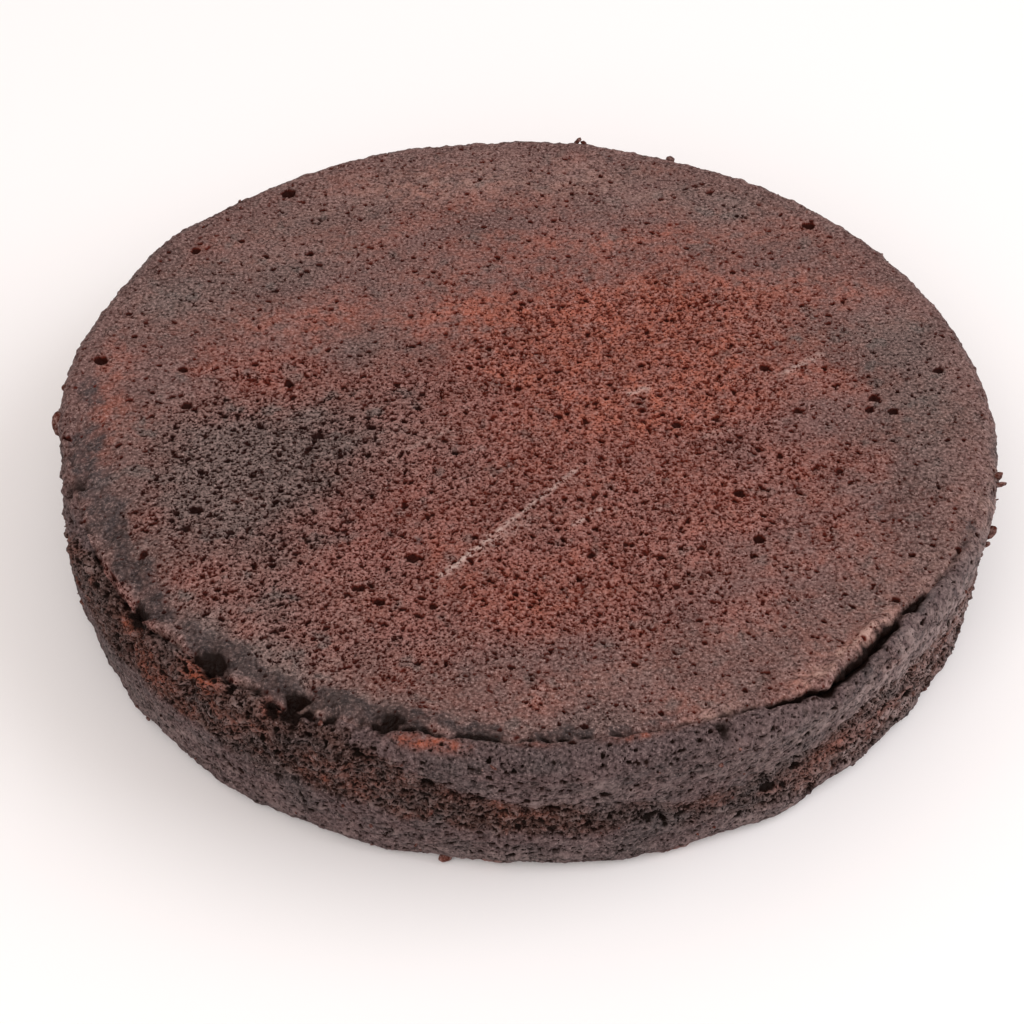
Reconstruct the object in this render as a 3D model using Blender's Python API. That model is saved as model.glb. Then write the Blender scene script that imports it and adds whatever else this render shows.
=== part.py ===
"""One-layer round chocolate fudge cake, turned out of its tin upside down.

The flat face that lay on the tin's floor is now the top. Round its edge runs the crease that the
lining paper left, torn open at the front right. At the front left the shoulder has sagged into
lumps. The wall has a band of torn crumb, and its foot is uneven. The cake is one solid, modelled
in metres, with the origin at the centre of its flat base and +Z up. The front is at -Y.
"""

import math

import bmesh
import bpy
from mathutils import Vector, noise

MM = 0.001

# Driving sizes of the cake
RADIUS = 100.0 * MM
HEIGHT = 34.0 * MM
SHOULDER_RADIUS = 4.5 * MM
FOOT_RADIUS = 5.0 * MM
WALL_TAPER = 1.5 * MM

# Runs of the section, measured along it from the centre of the top
TOP_RUN = RADIUS - SHOULDER_RADIUS
SHOULDER_RUN = SHOULDER_RADIUS * math.pi / 2
WALL_RUN = HEIGHT - SHOULDER_RADIUS - FOOT_RADIUS
FOOT_RUN = FOOT_RADIUS * math.pi / 2
WALL_START = TOP_RUN + SHOULDER_RUN
FOOT_START = WALL_START + WALL_RUN
SECTION_END = FOOT_START + FOOT_RUN

# The paper's crease: degrees round the cake, place along the section, depth and half width
CREASE = (
    (0, 96.2 * MM, 0.3 * MM, 0.9 * MM),
    (45, 95.8 * MM, 0.2 * MM, 0.9 * MM),
    (95, 95.4 * MM, 0.25 * MM, 1.0 * MM),
    (140, 96.0 * MM, 0.3 * MM, 1.0 * MM),
    (180, 95.5 * MM, 0.4 * MM, 0.9 * MM),
    (200, 96.2 * MM, 0.6 * MM, 1.0 * MM),
    (212, 97.5 * MM, 0.8 * MM, 1.1 * MM),
    (219, 98.2 * MM, 1.4 * MM, 1.2 * MM),
    (226, 97.0 * MM, 0.8 * MM, 1.0 * MM),
    (232, 95.9 * MM, 2.0 * MM, 1.1 * MM),
    (238, 96.2 * MM, 1.0 * MM, 1.0 * MM),
    (244, 96.2 * MM, 2.0 * MM, 1.2 * MM),
    (249, 95.6 * MM, 1.2 * MM, 1.0 * MM),
    (255, 94.3 * MM, 2.0 * MM, 1.0 * MM),
    (262, 93.9 * MM, 1.3 * MM, 0.9 * MM),
    (275, 93.7 * MM, 1.2 * MM, 0.9 * MM),
    (286, 93.7 * MM, 0.8 * MM, 0.9 * MM),
    (296, 94.3 * MM, 1.2 * MM, 0.9 * MM),
    (302, 96.8 * MM, 2.2 * MM, 1.0 * MM),
    (307, 98.0 * MM, 3.4 * MM, 1.2 * MM),
    (312, 96.4 * MM, 4.2 * MM, 1.6 * MM),
    (318, 95.4 * MM, 3.4 * MM, 1.2 * MM),
    (323, 94.8 * MM, 2.0 * MM, 1.0 * MM),
    (328, 96.0 * MM, 0.9 * MM, 0.9 * MM),
    (344, 96.6 * MM, 0.4 * MM, 0.9 * MM),
)
LIP_RISE = 0.9 * MM
LIP_SPREAD = 2.2 * MM
TORN_FROM = 1.5 * MM
TORN_TO = 3.5 * MM

# The sagged shoulder at the front left, which has dropped straight down
SAG_FROM = math.radians(181)
SAG_TO = math.radians(259)
SAG_EASE = math.radians(9)
SAG_DROP = 2.0 * MM
SAG_INNER = 84.0 * MM
SAG_OUTER = 118.0 * MM

# Tears across the crease: degrees, width in degrees, depth, and where they begin and end
TEARS = (
    (195.5, 1.5, 1.2 * MM, 94.5 * MM, 100.0 * MM),
    (219, 1.3, 2.4 * MM, 96.5 * MM, 101.5 * MM),
    (232, 1.6, 2.4 * MM, 94.5 * MM, 98.5 * MM),
    (243.5, 1.4, 2.6 * MM, 93.5 * MM, 99.0 * MM),
    (255, 1.2, 1.8 * MM, 92.5 * MM, 96.5 * MM),
    (293, 0.9, 1.4 * MM, 96.0 * MM, 100.0 * MM),
)
TEAR_EASE = 2.0 * MM

# Swellings of the shoulder and wall: degrees, width in degrees, place, length and rise
SWELLINGS = (
    (147, 7, 101 * MM, 6 * MM, 1.0 * MM),
    (191, 7, 103 * MM, 9 * MM, -2.0 * MM),
    (204, 4, 96 * MM, 5 * MM, 0.4 * MM),
    (213, 4, 95 * MM, 4 * MM, 0.8 * MM),
    (226, 4, 95 * MM, 4 * MM, 1.2 * MM),
    (238, 4, 98 * MM, 4 * MM, 1.1 * MM),
    (248.5, 4, 93 * MM, 4 * MM, 1.1 * MM),
    (257, 4, 91 * MM, 4 * MM, 0.9 * MM),
    (303, 8, 101 * MM, 4 * MM, 0.7 * MM),
    (72, 9, 100 * MM, 5 * MM, -0.6 * MM),
    (100, 5, 100 * MM, 5 * MM, -0.6 * MM),
    (206, 5, 128 * MM, 6 * MM, -1.1 * MM),
    (232, 6, 129 * MM, 6 * MM, 0.8 * MM),
    (317, 7, 129 * MM, 6 * MM, -0.6 * MM),
)

# The band of torn crumb round the wall: its height swings once round the cake
BAND_MIDDLE = 112.0 * MM
BAND_SWING = 6.0 * MM
BAND_HIGHEST_AT = math.radians(225)
BAND_HALF_WIDTH = 6.0 * MM
BAND_RECESS = 0.5 * MM

# Fine unevenness, as rise, size of its swells, and a seed that sets each kind apart
TOP_WAVE = (0.35 * MM, 32.0 * MM, 0)
WALL_WAVE = (0.45 * MM, 19.0 * MM, 11)
FOOT_WAVE = (0.7 * MM, 8.0 * MM, 23)
BAND_WAVE = (0.7 * MM, 5.0 * MM, 31)
LUMP_WAVE = (1.1 * MM, 11.0 * MM, 7)

# How far the kinds of unevenness fade in and out along the section
TOP_FADE = 6.0 * MM
FOOT_FADE = 6.0 * MM
BASE_FADE = 3.5 * MM

# The mesh: columns are closer round the front, where the crease is torn
FRONT_COLUMNS = 104
BACK_COLUMNS = 52
FRONT_FROM = math.radians(175)
FRONT_TO = math.radians(355)
TOP_STATIONS = (14, 30, 46, 60, 72, 81, 87)
CREASE_OFFSETS = (-4.6, -2.4, -1.1, 0.0, 1.1, 2.3)
UPPER_WALL_END = 110.0 * MM
UPPER_WALL_STEPS = 6
LOWER_WALL_STEPS = 7
FOOT_STEPS = 4


def smooth_step(low, high, value):
    """Rises from 0 at low to 1 at high with level ends."""
    share = min(1.0, max(0.0, (value - low) / (high - low)))
    return share * share * (3 - 2 * share)


def bell(distance, half_width):
    """A smooth hump of height 1 that has died away at about twice its half width."""
    return math.exp(-((distance / half_width) ** 2))


def turn_between(angle, other):
    """The signed angle from other to angle, from -pi to pi."""
    return (angle - other + math.pi) % (2 * math.pi) - math.pi


def crease_at(angle):
    """Place, depth and half width of the crease, eased between the listed directions."""
    degrees = math.degrees(angle) % 360
    following = list(CREASE[1:]) + [(CREASE[0][0] + 360, *CREASE[0][1:])]
    for here, ahead in zip(CREASE, following):
        if degrees <= ahead[0]:
            share = smooth_step(here[0], ahead[0], degrees)
            return [a + (b - a) * share for a, b in zip(here[1:], ahead[1:])]
    return list(CREASE[0][1:])


def section(station):
    """Point and outward normal of the plain section, as (radius, height) pairs."""
    if station <= TOP_RUN:
        return Vector((station, HEIGHT)), Vector((0, 1))
    if station <= WALL_START:
        turn = (station - TOP_RUN) / SHOULDER_RADIUS
        outward = Vector((math.sin(turn), math.cos(turn)))
        return Vector((TOP_RUN, HEIGHT - SHOULDER_RADIUS)) + outward * SHOULDER_RADIUS, outward
    if station <= FOOT_START:
        share = (station - WALL_START) / WALL_RUN
        height = HEIGHT - SHOULDER_RADIUS - WALL_RUN * share
        return Vector((RADIUS - WALL_TAPER * share, height)), Vector((1, 0))
    turn = min(station - FOOT_START, FOOT_RUN) / FOOT_RADIUS
    outward = Vector((math.cos(turn), -math.sin(turn)))
    middle = Vector((RADIUS - WALL_TAPER - FOOT_RADIUS, FOOT_RADIUS))
    return middle + outward * FOOT_RADIUS, outward


def around(radius, angle, height):
    """The point at that radius, direction and height."""
    return Vector((radius * math.cos(angle), radius * math.sin(angle), height))


def wave(point, kind):
    """Smooth random swells of one kind of unevenness."""
    rise, size, seed = kind
    return rise * noise.noise(point / size + Vector((seed, 0, 0)))


def torn_depth(angle, station):
    """Depth of the paper's groove, or of a tear that runs down from it, whichever is more."""
    place, depth, half_width = crease_at(angle)
    deepest = depth * bell(station - place, half_width)
    for degrees, width, cut, start, end in TEARS:
        off = turn_between(angle, math.radians(degrees)) / math.radians(width)
        along = smooth_step(start - TEAR_EASE, start, station)
        along *= 1 - smooth_step(end - TEAR_EASE, end + TEAR_EASE, station)
        deepest = max(deepest, cut * bell(off, 1.0) * along)
    return deepest


def lip_rise(angle, station):
    """The lip that stands up behind the crease where it is torn open."""
    place, depth, _ = crease_at(angle)
    torn = smooth_step(TORN_FROM, TORN_TO, depth)
    return LIP_RISE * torn * bell(station - place + LIP_SPREAD, LIP_SPREAD / 2)


def sag_share(angle, station):
    """How much of the sag's drop is felt, from 0 to 1."""
    span = smooth_step(SAG_FROM, SAG_FROM + SAG_EASE, angle)
    span *= 1 - smooth_step(SAG_TO - SAG_EASE, SAG_TO, angle)
    across = smooth_step(SAG_INNER, TOP_RUN, station)
    across *= 1 - smooth_step(WALL_START, SAG_OUTER, station)
    return span * across


def swelling_rise(angle, station):
    """The broad swellings and hollows of the shoulder, wall and foot."""
    total = 0.0
    for degrees, width, place, length, rise in SWELLINGS:
        off = turn_between(angle, math.radians(degrees)) / math.radians(width)
        total += rise * bell(off, 1.0) * bell(station - place, length)
    return total


def band_rise(angle, station, point):
    """The recessed band of torn crumb round the wall."""
    middle = BAND_MIDDLE - BAND_SWING * math.cos(angle - BAND_HIGHEST_AT)
    inside = bell(station - middle, BAND_HALF_WIDTH)
    return inside * (wave(point, BAND_WAVE) - BAND_RECESS)


def relief(angle, station, point):
    """How far the surface stands out from the plain section, along its normal."""
    on_top = 1 - smooth_step(TOP_RUN - TOP_FADE, WALL_START, station)
    above_base = 1 - smooth_step(SECTION_END - BASE_FADE, SECTION_END, station)
    on_wall = smooth_step(TOP_RUN, WALL_START, station) * above_base
    on_foot = smooth_step(FOOT_START - FOOT_FADE, FOOT_START, station) * above_base
    rise = on_top * wave(point, TOP_WAVE)
    rise += on_wall * (wave(point, WALL_WAVE) + band_rise(angle, station, point))
    rise += on_foot * wave(point, FOOT_WAVE)
    rise += sag_share(angle, station) * wave(point, LUMP_WAVE)
    rise += swelling_rise(angle, station) * above_base
    rise += lip_rise(angle, station)
    return rise - torn_depth(angle, station)


def surface_point(angle, station):
    """A point of the cake's uneven skin."""
    place, outward = section(station)
    if station >= SECTION_END:
        return around(place.x, angle, 0.0)
    point = around(place.x, angle, place.y)
    place = place + outward * relief(angle, station, point)
    return around(place.x, angle, place.y - SAG_DROP * sag_share(angle, station))


def section_stations():
    """Places of the mesh's rows, and how much each follows the crease to the side."""
    rows = [(place * MM, 0.0) for place in TOP_STATIONS]
    middle = CREASE[0][1]
    rows += [(middle + offset * MM, 1.0) for offset in CREASE_OFFSETS]
    last = rows[-1][0]
    for step in range(1, UPPER_WALL_STEPS + 1):
        share = step / UPPER_WALL_STEPS
        rows.append((last + (UPPER_WALL_END - last) * share, 1.0 - share))
    lower = FOOT_START - UPPER_WALL_END
    for step in range(1, LOWER_WALL_STEPS + 1):
        rows.append((UPPER_WALL_END + lower * step / LOWER_WALL_STEPS, 0.0))
    rows += [(FOOT_START + FOOT_RUN * step / FOOT_STEPS, 0.0) for step in range(1, FOOT_STEPS + 1)]
    return rows


def column_angles():
    """Directions of the mesh's columns, closer together round the front."""
    front = FRONT_TO - FRONT_FROM
    back = 2 * math.pi - front
    angles = [FRONT_FROM + front * step / FRONT_COLUMNS for step in range(FRONT_COLUMNS)]
    angles += [FRONT_TO + back * step / BACK_COLUMNS for step in range(BACK_COLUMNS)]
    return [angle % (2 * math.pi) for angle in angles]


def cake_mesh():
    """The closed skin: rings of points bridged into faces, with a fan at each pole."""
    bm = bmesh.new()
    angles = column_angles()
    rings = []
    for place, follow in section_stations():
        ring = []
        for angle in angles:
            shift = follow * (crease_at(angle)[0] - CREASE[0][1])
            ring.append(bm.verts.new(surface_point(angle, place + shift)))
        rings.append(ring)
    top_pole = bm.verts.new((0, 0, surface_point(0.0, 0.0).z))
    base_pole = bm.verts.new((0, 0, 0))
    columns = len(angles)
    for column in range(columns):
        beside = (column + 1) % columns
        bm.faces.new((top_pole, rings[0][column], rings[0][beside]))
        bm.faces.new((base_pole, rings[-1][beside], rings[-1][column]))
        for upper, lower in zip(rings, rings[1:]):
            bm.faces.new((upper[column], lower[column], lower[beside], upper[beside]))
    bmesh.ops.recalc_face_normals(bm, faces=bm.faces)
    mesh = bpy.data.meshes.new("cake")
    bm.to_mesh(mesh)
    bm.free()
    mesh.shade_smooth()
    return mesh


def fudge_crumb_material():
    """Dark, moist chocolate crumb."""
    material = bpy.data.materials.new("fudge_crumb")
    material.use_nodes = True
    shader = material.node_tree.nodes["Principled BSDF"]
    shader.inputs["Base Color"].default_value = (0.095, 0.047, 0.038, 1.0)
    shader.inputs["Roughness"].default_value = 0.62
    shader.inputs["Metallic"].default_value = 0.0
    return material


def clear_scene():
    """Removes what the scene already holds."""
    for item in list(bpy.data.objects):
        bpy.data.objects.remove(item)


def main():
    """Builds the cake as one object."""
    clear_scene()
    cake = bpy.data.objects.new("cake", cake_mesh())
    cake.data.materials.append(fudge_crumb_material())
    bpy.context.scene.collection.objects.link(cake)


main()
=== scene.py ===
"""A plain chocolate fudge cake: its crumb, crust and light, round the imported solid.

The solid is dressed in closed shells of true crumb. Four quarter shells make the flat top, four
make the shoulder and wall, one makes the underside, and small lumps and shards cling to the wall
and rim. Every shell samples the same surface, so neighbours meet point for point. The surface is
the cake's plain section, moved by the same large unevenness as the solid, and then cut by gas
bubbles of several sizes, which leave real pores.

Places and sizes in the classes are in millimetres, and become metres where a mesh is made.
"""

import logging
import math
from dataclasses import dataclass
from enum import Enum

import bpy
import numpy as np
from mathutils import Matrix, Vector


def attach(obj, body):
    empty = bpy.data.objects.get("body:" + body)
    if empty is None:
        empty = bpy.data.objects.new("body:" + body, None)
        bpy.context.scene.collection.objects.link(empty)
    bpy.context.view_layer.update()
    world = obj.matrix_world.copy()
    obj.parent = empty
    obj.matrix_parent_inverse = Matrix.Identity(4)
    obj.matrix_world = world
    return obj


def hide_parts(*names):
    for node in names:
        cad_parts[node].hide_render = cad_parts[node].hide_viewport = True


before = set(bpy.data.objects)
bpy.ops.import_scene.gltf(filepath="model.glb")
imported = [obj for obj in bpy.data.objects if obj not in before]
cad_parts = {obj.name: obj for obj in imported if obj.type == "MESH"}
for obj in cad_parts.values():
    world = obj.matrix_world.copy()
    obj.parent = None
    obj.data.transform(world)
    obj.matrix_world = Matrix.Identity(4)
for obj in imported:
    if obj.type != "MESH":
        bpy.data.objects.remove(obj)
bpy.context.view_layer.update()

LOG = logging.getLogger("fudge_cake")

Array = np.ndarray
Colour = tuple[float, float, float]
Socket = bpy.types.NodeSocket
Value = Socket | float | tuple[float, ...]
Hues = dict[str, Value]
MM = 0.001
# The cake's plain radius in mm, which its patches are laid out by
RADIUS = 100.0
TURN = 2 * math.pi
BODY = "root"
CAKE_NODE = "cake"


def smooth_step(low: float | Array, high: float | Array, value: Array) -> Array:
    """Rises from 0 at low to 1 at high with level ends.

    Args:
        low: where the rise begins.
        high: where it ends; it may be less than low for a fall.
        value: the values to place on the rise.

    Returns:
        The share of the rise at each value.
    """
    share = np.clip((value - low) / (high - low), 0.0, 1.0)
    return share * share * (3 - 2 * share)


def plateau(edges: tuple[float | Array, ...], value: Array) -> Array:
    """Rises from 0 to 1 between the first two edges and falls back between the last two."""
    rise_from, rise_to, fall_from, fall_to = edges
    return smooth_step(rise_from, rise_to, value) * smooth_step(fall_to, fall_from, value)


def bell(distance: Array, half_width: float) -> Array:
    """A smooth hump of height 1 that has died away at about twice its half width."""
    return np.exp(-((distance / half_width) ** 2))


def turn_between(angle: Array, other: float) -> Array:
    """The signed turn in radians from other to angle, from -pi to pi."""
    return (angle - other + math.pi) % TURN - math.pi


def scrambled(cells: Array, salt: int) -> Array:
    """Turns whole-number cells into evenly spread 32-bit numbers.

    Each coordinate is multiplied by a large odd number, the three are mixed by exclusive or with
    a salt, and the result is folded on itself twice.

    Args:
        cells: whole numbers, shape (3, n).
        salt: sets one use of the numbers apart from another.

    Returns:
        Unsigned numbers, shape (n,).
    """
    x, y, z = cells.astype(np.int64).astype(np.uint32)
    mixed = x * np.uint32(0x8DA6B343) ^ y * np.uint32(0xD8163841) ^ z * np.uint32(0xCB1AB31F)
    mixed ^= np.uint32((salt * 0x9E3779B1) & 0xFFFFFFFF)
    mixed ^= mixed >> np.uint32(15)
    mixed *= np.uint32(0x2C1B3C6D)
    mixed ^= mixed >> np.uint32(12)
    mixed *= np.uint32(0x297A2D39)
    mixed ^= mixed >> np.uint32(15)
    return mixed


def thirds(numbers: Array) -> Array:
    """Three values from 0 to 1 out of each 32-bit number, shape (3, n)."""
    ten_bits = np.uint32(1023)
    parts = [numbers & ten_bits, (numbers >> np.uint32(10)) & ten_bits, numbers >> np.uint32(21)]
    return np.array(parts, np.float32) / np.array([[1024], [1024], [2048]], np.float32)


def swell(points: Array, size: float, salt: int) -> Array:
    """Smooth random swells, about -1 to 1.

    Gradient noise: each corner of a lattice holds a random direction, a point takes the dot
    product of its offset with each of its cell's eight, and the eight are blended by quintic
    weights.

    Args:
        points: places in millimetres, shape (3, n).
        size: the lattice's spacing in millimetres.
        salt: sets one field apart from another.

    Returns:
        The field at each point.
    """
    place = (points / size).astype(np.float32)
    cell = np.floor(place)
    inside = place - cell
    ease = inside**3 * (inside * (inside * 6 - 15) + 10)
    total = np.zeros(points.shape[1], np.float32)
    for corner in np.ndindex(2, 2, 2):
        step = np.array(corner, np.float32)[:, None]
        direction = thirds(scrambled(cell + step, salt)) * 2 - 1
        weight = np.prod(np.where(step > 0, ease, 1 - ease), axis=0)
        total += weight * np.sum(direction * (inside - step), axis=0)
    return total * 1.5


def rough(points: Array, size: float, salt: int, layers: int = 3, keep: float = 0.5) -> Array:
    """Layered swells: each layer has half the size of the last and a share of its height."""
    total = np.zeros(points.shape[1], np.float32)
    height = 1.0
    for layer in range(layers):
        total += height * swell(points, size / 2**layer, salt + 101 * layer)
        height *= keep
    return total


@dataclass(frozen=True)
class Bubbles:
    """Gas bubbles of one kind, one to each cell of a lattice.

    Attributes:
        cell: the lattice's spacing in mm.
        smallest: the least radius in mm.
        largest: the greatest radius in mm.
        deepest: the deepest cut that one makes, as a share of its radius.
        salt: sets this kind apart from the others.
    """

    cell: float
    smallest: float
    largest: float
    deepest: float
    salt: int

    def cut(self, points: Array, inward: Array, share: Array) -> Array:
        """How far each point must sink to reach the far wall of a bubble that it lies in.

        A point at offset q from a bubble's centre, with c = -q . inward the centre's depth below
        it, sinks by c + sqrt(c^2 + R^2 - q^2), which is where the line inward leaves the sphere.

        Args:
            points: places in mm, shape (3, n).
            inward: unit directions into the cake, shape (3, n).
            share: the share of the cells that hold a bubble, shape (n,).

        Returns:
            Depth in mm, 0 outside every bubble.
        """
        place = (points / self.cell).astype(np.float32)
        home = np.floor(place)
        deepest = np.zeros(points.shape[1], np.float32)
        for neighbour in np.ndindex(3, 3, 3):
            cell = home + (np.array(neighbour, np.float32)[:, None] - 1)
            offset = (place - cell - thirds(scrambled(cell, self.salt))) * self.cell
            nature = thirds(scrambled(cell, self.salt + 7))
            radius = self.smallest + (self.largest - self.smallest) * nature[0] ** 1.5
            gap = radius**2 - np.sum(offset**2, axis=0)
            held = (gap > 0) & (nature[1] < share)
            below = -np.sum(offset * inward, axis=0)
            depth = below + np.sqrt(np.maximum(below**2 + gap, 0))
            depth = np.minimum(depth, radius * self.deepest)
            deepest = np.where(held, np.maximum(deepest, depth), deepest)
        return deepest


@dataclass(frozen=True)
class RoundTable:
    """Values that change smoothly round the cake, each row headed by its direction in degrees."""

    rows: tuple[tuple[float, ...], ...]

    def at(self, angle: Array) -> list[Array]:
        """Eases each column between the listed directions.

        Args:
            angle: directions in radians.

        Returns:
            One array for each column after the first.
        """
        table = np.array(self.rows)
        before, after = table[-1:].copy(), table[:1].copy()
        before[0, 0] -= 360
        after[0, 0] += 360
        table = np.vstack([before, table, after])
        degrees = np.degrees(angle) % 360
        index = np.searchsorted(table[:, 0], degrees, side="right") - 1
        index = np.clip(index, 0, len(table) - 2)
        here, ahead = table[index].T, table[index + 1].T
        share = smooth_step(0.0, 1.0, (degrees - here[0]) / (ahead[0] - here[0]))
        return [low + (high - low) * share for low, high in zip(here[1:], ahead[1:])]


@dataclass(frozen=True)
class Patch:
    """A soft-edged oval on the top.

    Attributes:
        x: centre to the right, in mm.
        y: centre towards the back, in mm.
        along: half length in mm.
        across: half width in mm.
        turn: direction of its length in degrees.
        strength: its weight at the centre.
    """

    x: float
    y: float
    along: float
    across: float
    turn: float
    strength: float

    def weight(self, x: Array, y: Array) -> Array:
        """The patch's weight at places on the top."""
        turn = math.radians(self.turn)
        u = (x - self.x) * math.cos(turn) + (y - self.y) * math.sin(turn)
        v = (y - self.y) * math.cos(turn) - (x - self.x) * math.sin(turn)
        return self.strength * np.exp(-((u / self.along) ** 2) - (v / self.across) ** 2)


@dataclass(frozen=True)
class RimPatch:
    """A soft-edged oval near the rim.

    Attributes:
        degrees: its direction.
        place: its centre along the section, in mm.
        along: half length round the cake, in mm.
        down: half width along the section, in mm.
        strength: its weight at the centre.
    """

    degrees: float
    place: float
    along: float
    down: float
    strength: float

    def weight(self, angle: Array, station: Array) -> Array:
        """The patch's weight at places given by direction and run along the section."""
        u = turn_between(angle, math.radians(self.degrees)) * RADIUS / self.along
        v = (station - self.place) / self.down
        return self.strength * np.exp(-(u**2) - v**2)


# The shares of a scratch's length over which it fades in and out
SCRATCH_ENDS = (-0.02, 0.15, 0.85, 1.02)


@dataclass(frozen=True)
class Scratch:
    """A light streak rubbed across the top, from one place to another, in mm."""

    start: tuple[float, float]
    end: tuple[float, float]
    half_width: float
    strength: float

    def weight(self, x: Array, y: Array) -> Array:
        """The streak's strength at places on the top, fading across it and at its ends."""
        dx, dy = self.end[0] - self.start[0], self.end[1] - self.start[1]
        length = math.hypot(dx, dy)
        along = ((x - self.start[0]) * dx + (y - self.start[1]) * dy) / length**2
        across = ((x - self.start[0]) * dy - (y - self.start[1]) * dx) / length
        return self.strength * plateau(SCRATCH_ENDS, along) * bell(across, self.half_width)


@dataclass(frozen=True)
class Form:
    """The cake's large form in mm: its plain section, and what sagging and tearing did to it."""

    radius: float = RADIUS
    height: float = 34.0
    shoulder: float = 4.5
    foot: float = 5.0
    taper: float = 1.5
    lip_rise: float = 0.9
    lip_spread: float = 2.2
    lip_overhang: float = 1.3
    # Where the lip leans, behind the crease, over what run, and how unevenly
    lean_place: float = 1.3
    lean_spread: float = 0.8
    lean_least: float = 0.8
    lean_stray: float = 0.9
    # Where along the section the ragged rim fades in and out
    rim_zone: tuple[float, float, float, float] = (89.0, 95.0, 101.0, 108.0)
    # How far the crease strays sideways, over what run, and where it is deep enough to do so
    stray: float = 1.3
    stray_run: float = 4.5
    stray_from: float = 0.6
    stray_to: float = 2.0
    # How closed skin breaks the shallow crease up
    break_run: float = 3.2
    break_middle: float = 0.95
    break_swing: float = 1.8
    break_limits: tuple[float, float] = (0.05, 1.2)
    slot_share: float = 0.8
    slot_power: float = 2.6
    torn_from: float = 1.5
    torn_to: float = 3.5
    sag_from: float = 181.0
    sag_to: float = 259.0
    sag_ease: float = 9.0
    sag_drop: float = 2.0
    sag_inner: float = 84.0
    sag_outer: float = 118.0
    tear_ease: float = 2.0
    tear_wander: float = 0.8
    # How far from the wall and the foot their zones begin, and how far above the base it ends
    zone_ease: float = 6.0
    base_ease: float = 3.5
    # Degrees round the cake; then the crease's place along the section, depth and half width
    crease: RoundTable = RoundTable(
        (
            (0, 96.2, 0.3, 0.9),
            (45, 95.8, 0.2, 0.9),
            (95, 95.4, 0.25, 1.0),
            (140, 96.0, 0.3, 1.0),
            (180, 95.5, 0.4, 0.9),
            (200, 96.2, 0.6, 1.0),
            (212, 97.5, 0.8, 1.1),
            (219, 98.2, 1.4, 1.2),
            (226, 97.0, 0.8, 1.0),
            (232, 95.9, 1.6, 1.1),
            (238, 96.2, 1.0, 1.0),
            (244, 96.2, 1.6, 1.1),
            (249, 95.6, 1.2, 1.0),
            (255, 94.3, 1.7, 1.0),
            (262, 93.9, 1.1, 0.9),
            (275, 93.7, 0.95, 0.8),
            (286, 93.7, 0.85, 0.8),
            (296, 94.3, 1.2, 0.9),
            (302, 96.8, 2.2, 1.0),
            (307, 98.0, 3.4, 1.5),
            (312, 96.4, 4.2, 2.0),
            (318, 95.4, 3.4, 1.6),
            (323, 94.8, 2.0, 1.1),
            (328, 96.0, 0.9, 0.9),
            (344, 96.6, 0.4, 0.9),
        )
    )
    # Degrees, width in degrees, depth, and where along the section a tear begins and ends
    tears: tuple[tuple[float, ...], ...] = (
        (195.5, 1.5, 1.2, 94.5, 100.0),
        (219, 1.3, 2.4, 96.5, 101.5),
        (232, 1.3, 2.2, 94.5, 98.5),
        (243.5, 1.4, 2.6, 93.5, 99.0),
        (255, 1.2, 1.8, 92.5, 96.5),
        (293, 0.9, 1.4, 96.0, 100.0),
    )
    # Degrees, width in degrees, place along the section, length and rise
    swellings: tuple[tuple[float, ...], ...] = (
        (147, 7, 101, 6, 1.0),
        (191, 7, 103, 9, -2.0),
        (204, 4, 96, 5, 0.4),
        (213, 4, 95, 4, 0.8),
        (226, 4, 95, 4, 1.2),
        (238, 4, 98, 4, 1.1),
        (248.5, 4, 93, 4, 1.1),
        (257, 4, 91, 4, 0.9),
        (303, 8, 101, 4, 0.7),
        (72, 9, 100, 5, -0.6),
        (100, 5, 100, 5, -0.6),
        (206, 5, 128, 6, -1.1),
        (232, 6, 129, 6, 0.8),
        (317, 7, 129, 6, -0.6),
    )

    @property
    def top_run(self) -> float:
        """Where the flat top ends along the section."""
        return self.radius - self.shoulder

    @property
    def wall_start(self) -> float:
        """Where the shoulder ends and the wall begins."""
        return self.top_run + self.shoulder * math.pi / 2

    @property
    def wall_run(self) -> float:
        """The wall's height between shoulder and foot."""
        return self.height - self.shoulder - self.foot

    @property
    def foot_start(self) -> float:
        """Where the wall ends and the foot begins."""
        return self.wall_start + self.wall_run

    @property
    def section_end(self) -> float:
        """Where the foot meets the surface that the cake stands on."""
        return self.foot_start + self.foot * math.pi / 2

    def section(self, station: Array) -> tuple[Array, Array, Array, Array]:
        """The plain section: a flat top, a quarter turn of shoulder, the wall and the foot.

        Args:
            station: distance along the section from the middle of the top, in mm.

        Returns:
            Radius, height, and the outward normal's two parts.
        """
        over = np.clip((station - self.top_run) / self.shoulder, 0, math.pi / 2)
        down = np.clip((station - self.wall_start) / self.wall_run, 0, 1)
        under = np.clip((station - self.foot_start) / self.foot, 0, math.pi / 2)
        past = np.clip(station - self.section_end, 0, None)
        out = np.minimum(station, self.top_run) + self.shoulder * np.sin(over)
        out = out - self.taper * down - self.foot * (1 - np.cos(under)) - past
        up = self.height - self.shoulder * (1 - np.cos(over))
        up = up - self.wall_run * down - self.foot * np.sin(under)
        return out, up, np.sin(over) * np.cos(under), np.cos(over) - np.sin(under)

    def ring(self, angle: Array) -> Array:
        """Places on a circle of the cake's radius, for swells that close up round it."""
        return np.array([np.cos(angle), np.sin(angle), 0 * angle]) * self.radius

    def rim(self, angle: Array) -> Array:
        """Where the top's shells meet the wall's: the wandering bottom of the crease."""
        place, depth, _ = self.crease.at(angle)
        deep = smooth_step(self.stray_from, self.stray_to, depth)
        return place + self.stray * deep * swell(self.ring(angle), self.stray_run, 52)

    def above_base(self, station: Array) -> Array:
        """1 over most of the section, falling to 0 where it meets the base."""
        return smooth_step(self.section_end, self.section_end - self.base_ease, station)

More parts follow.
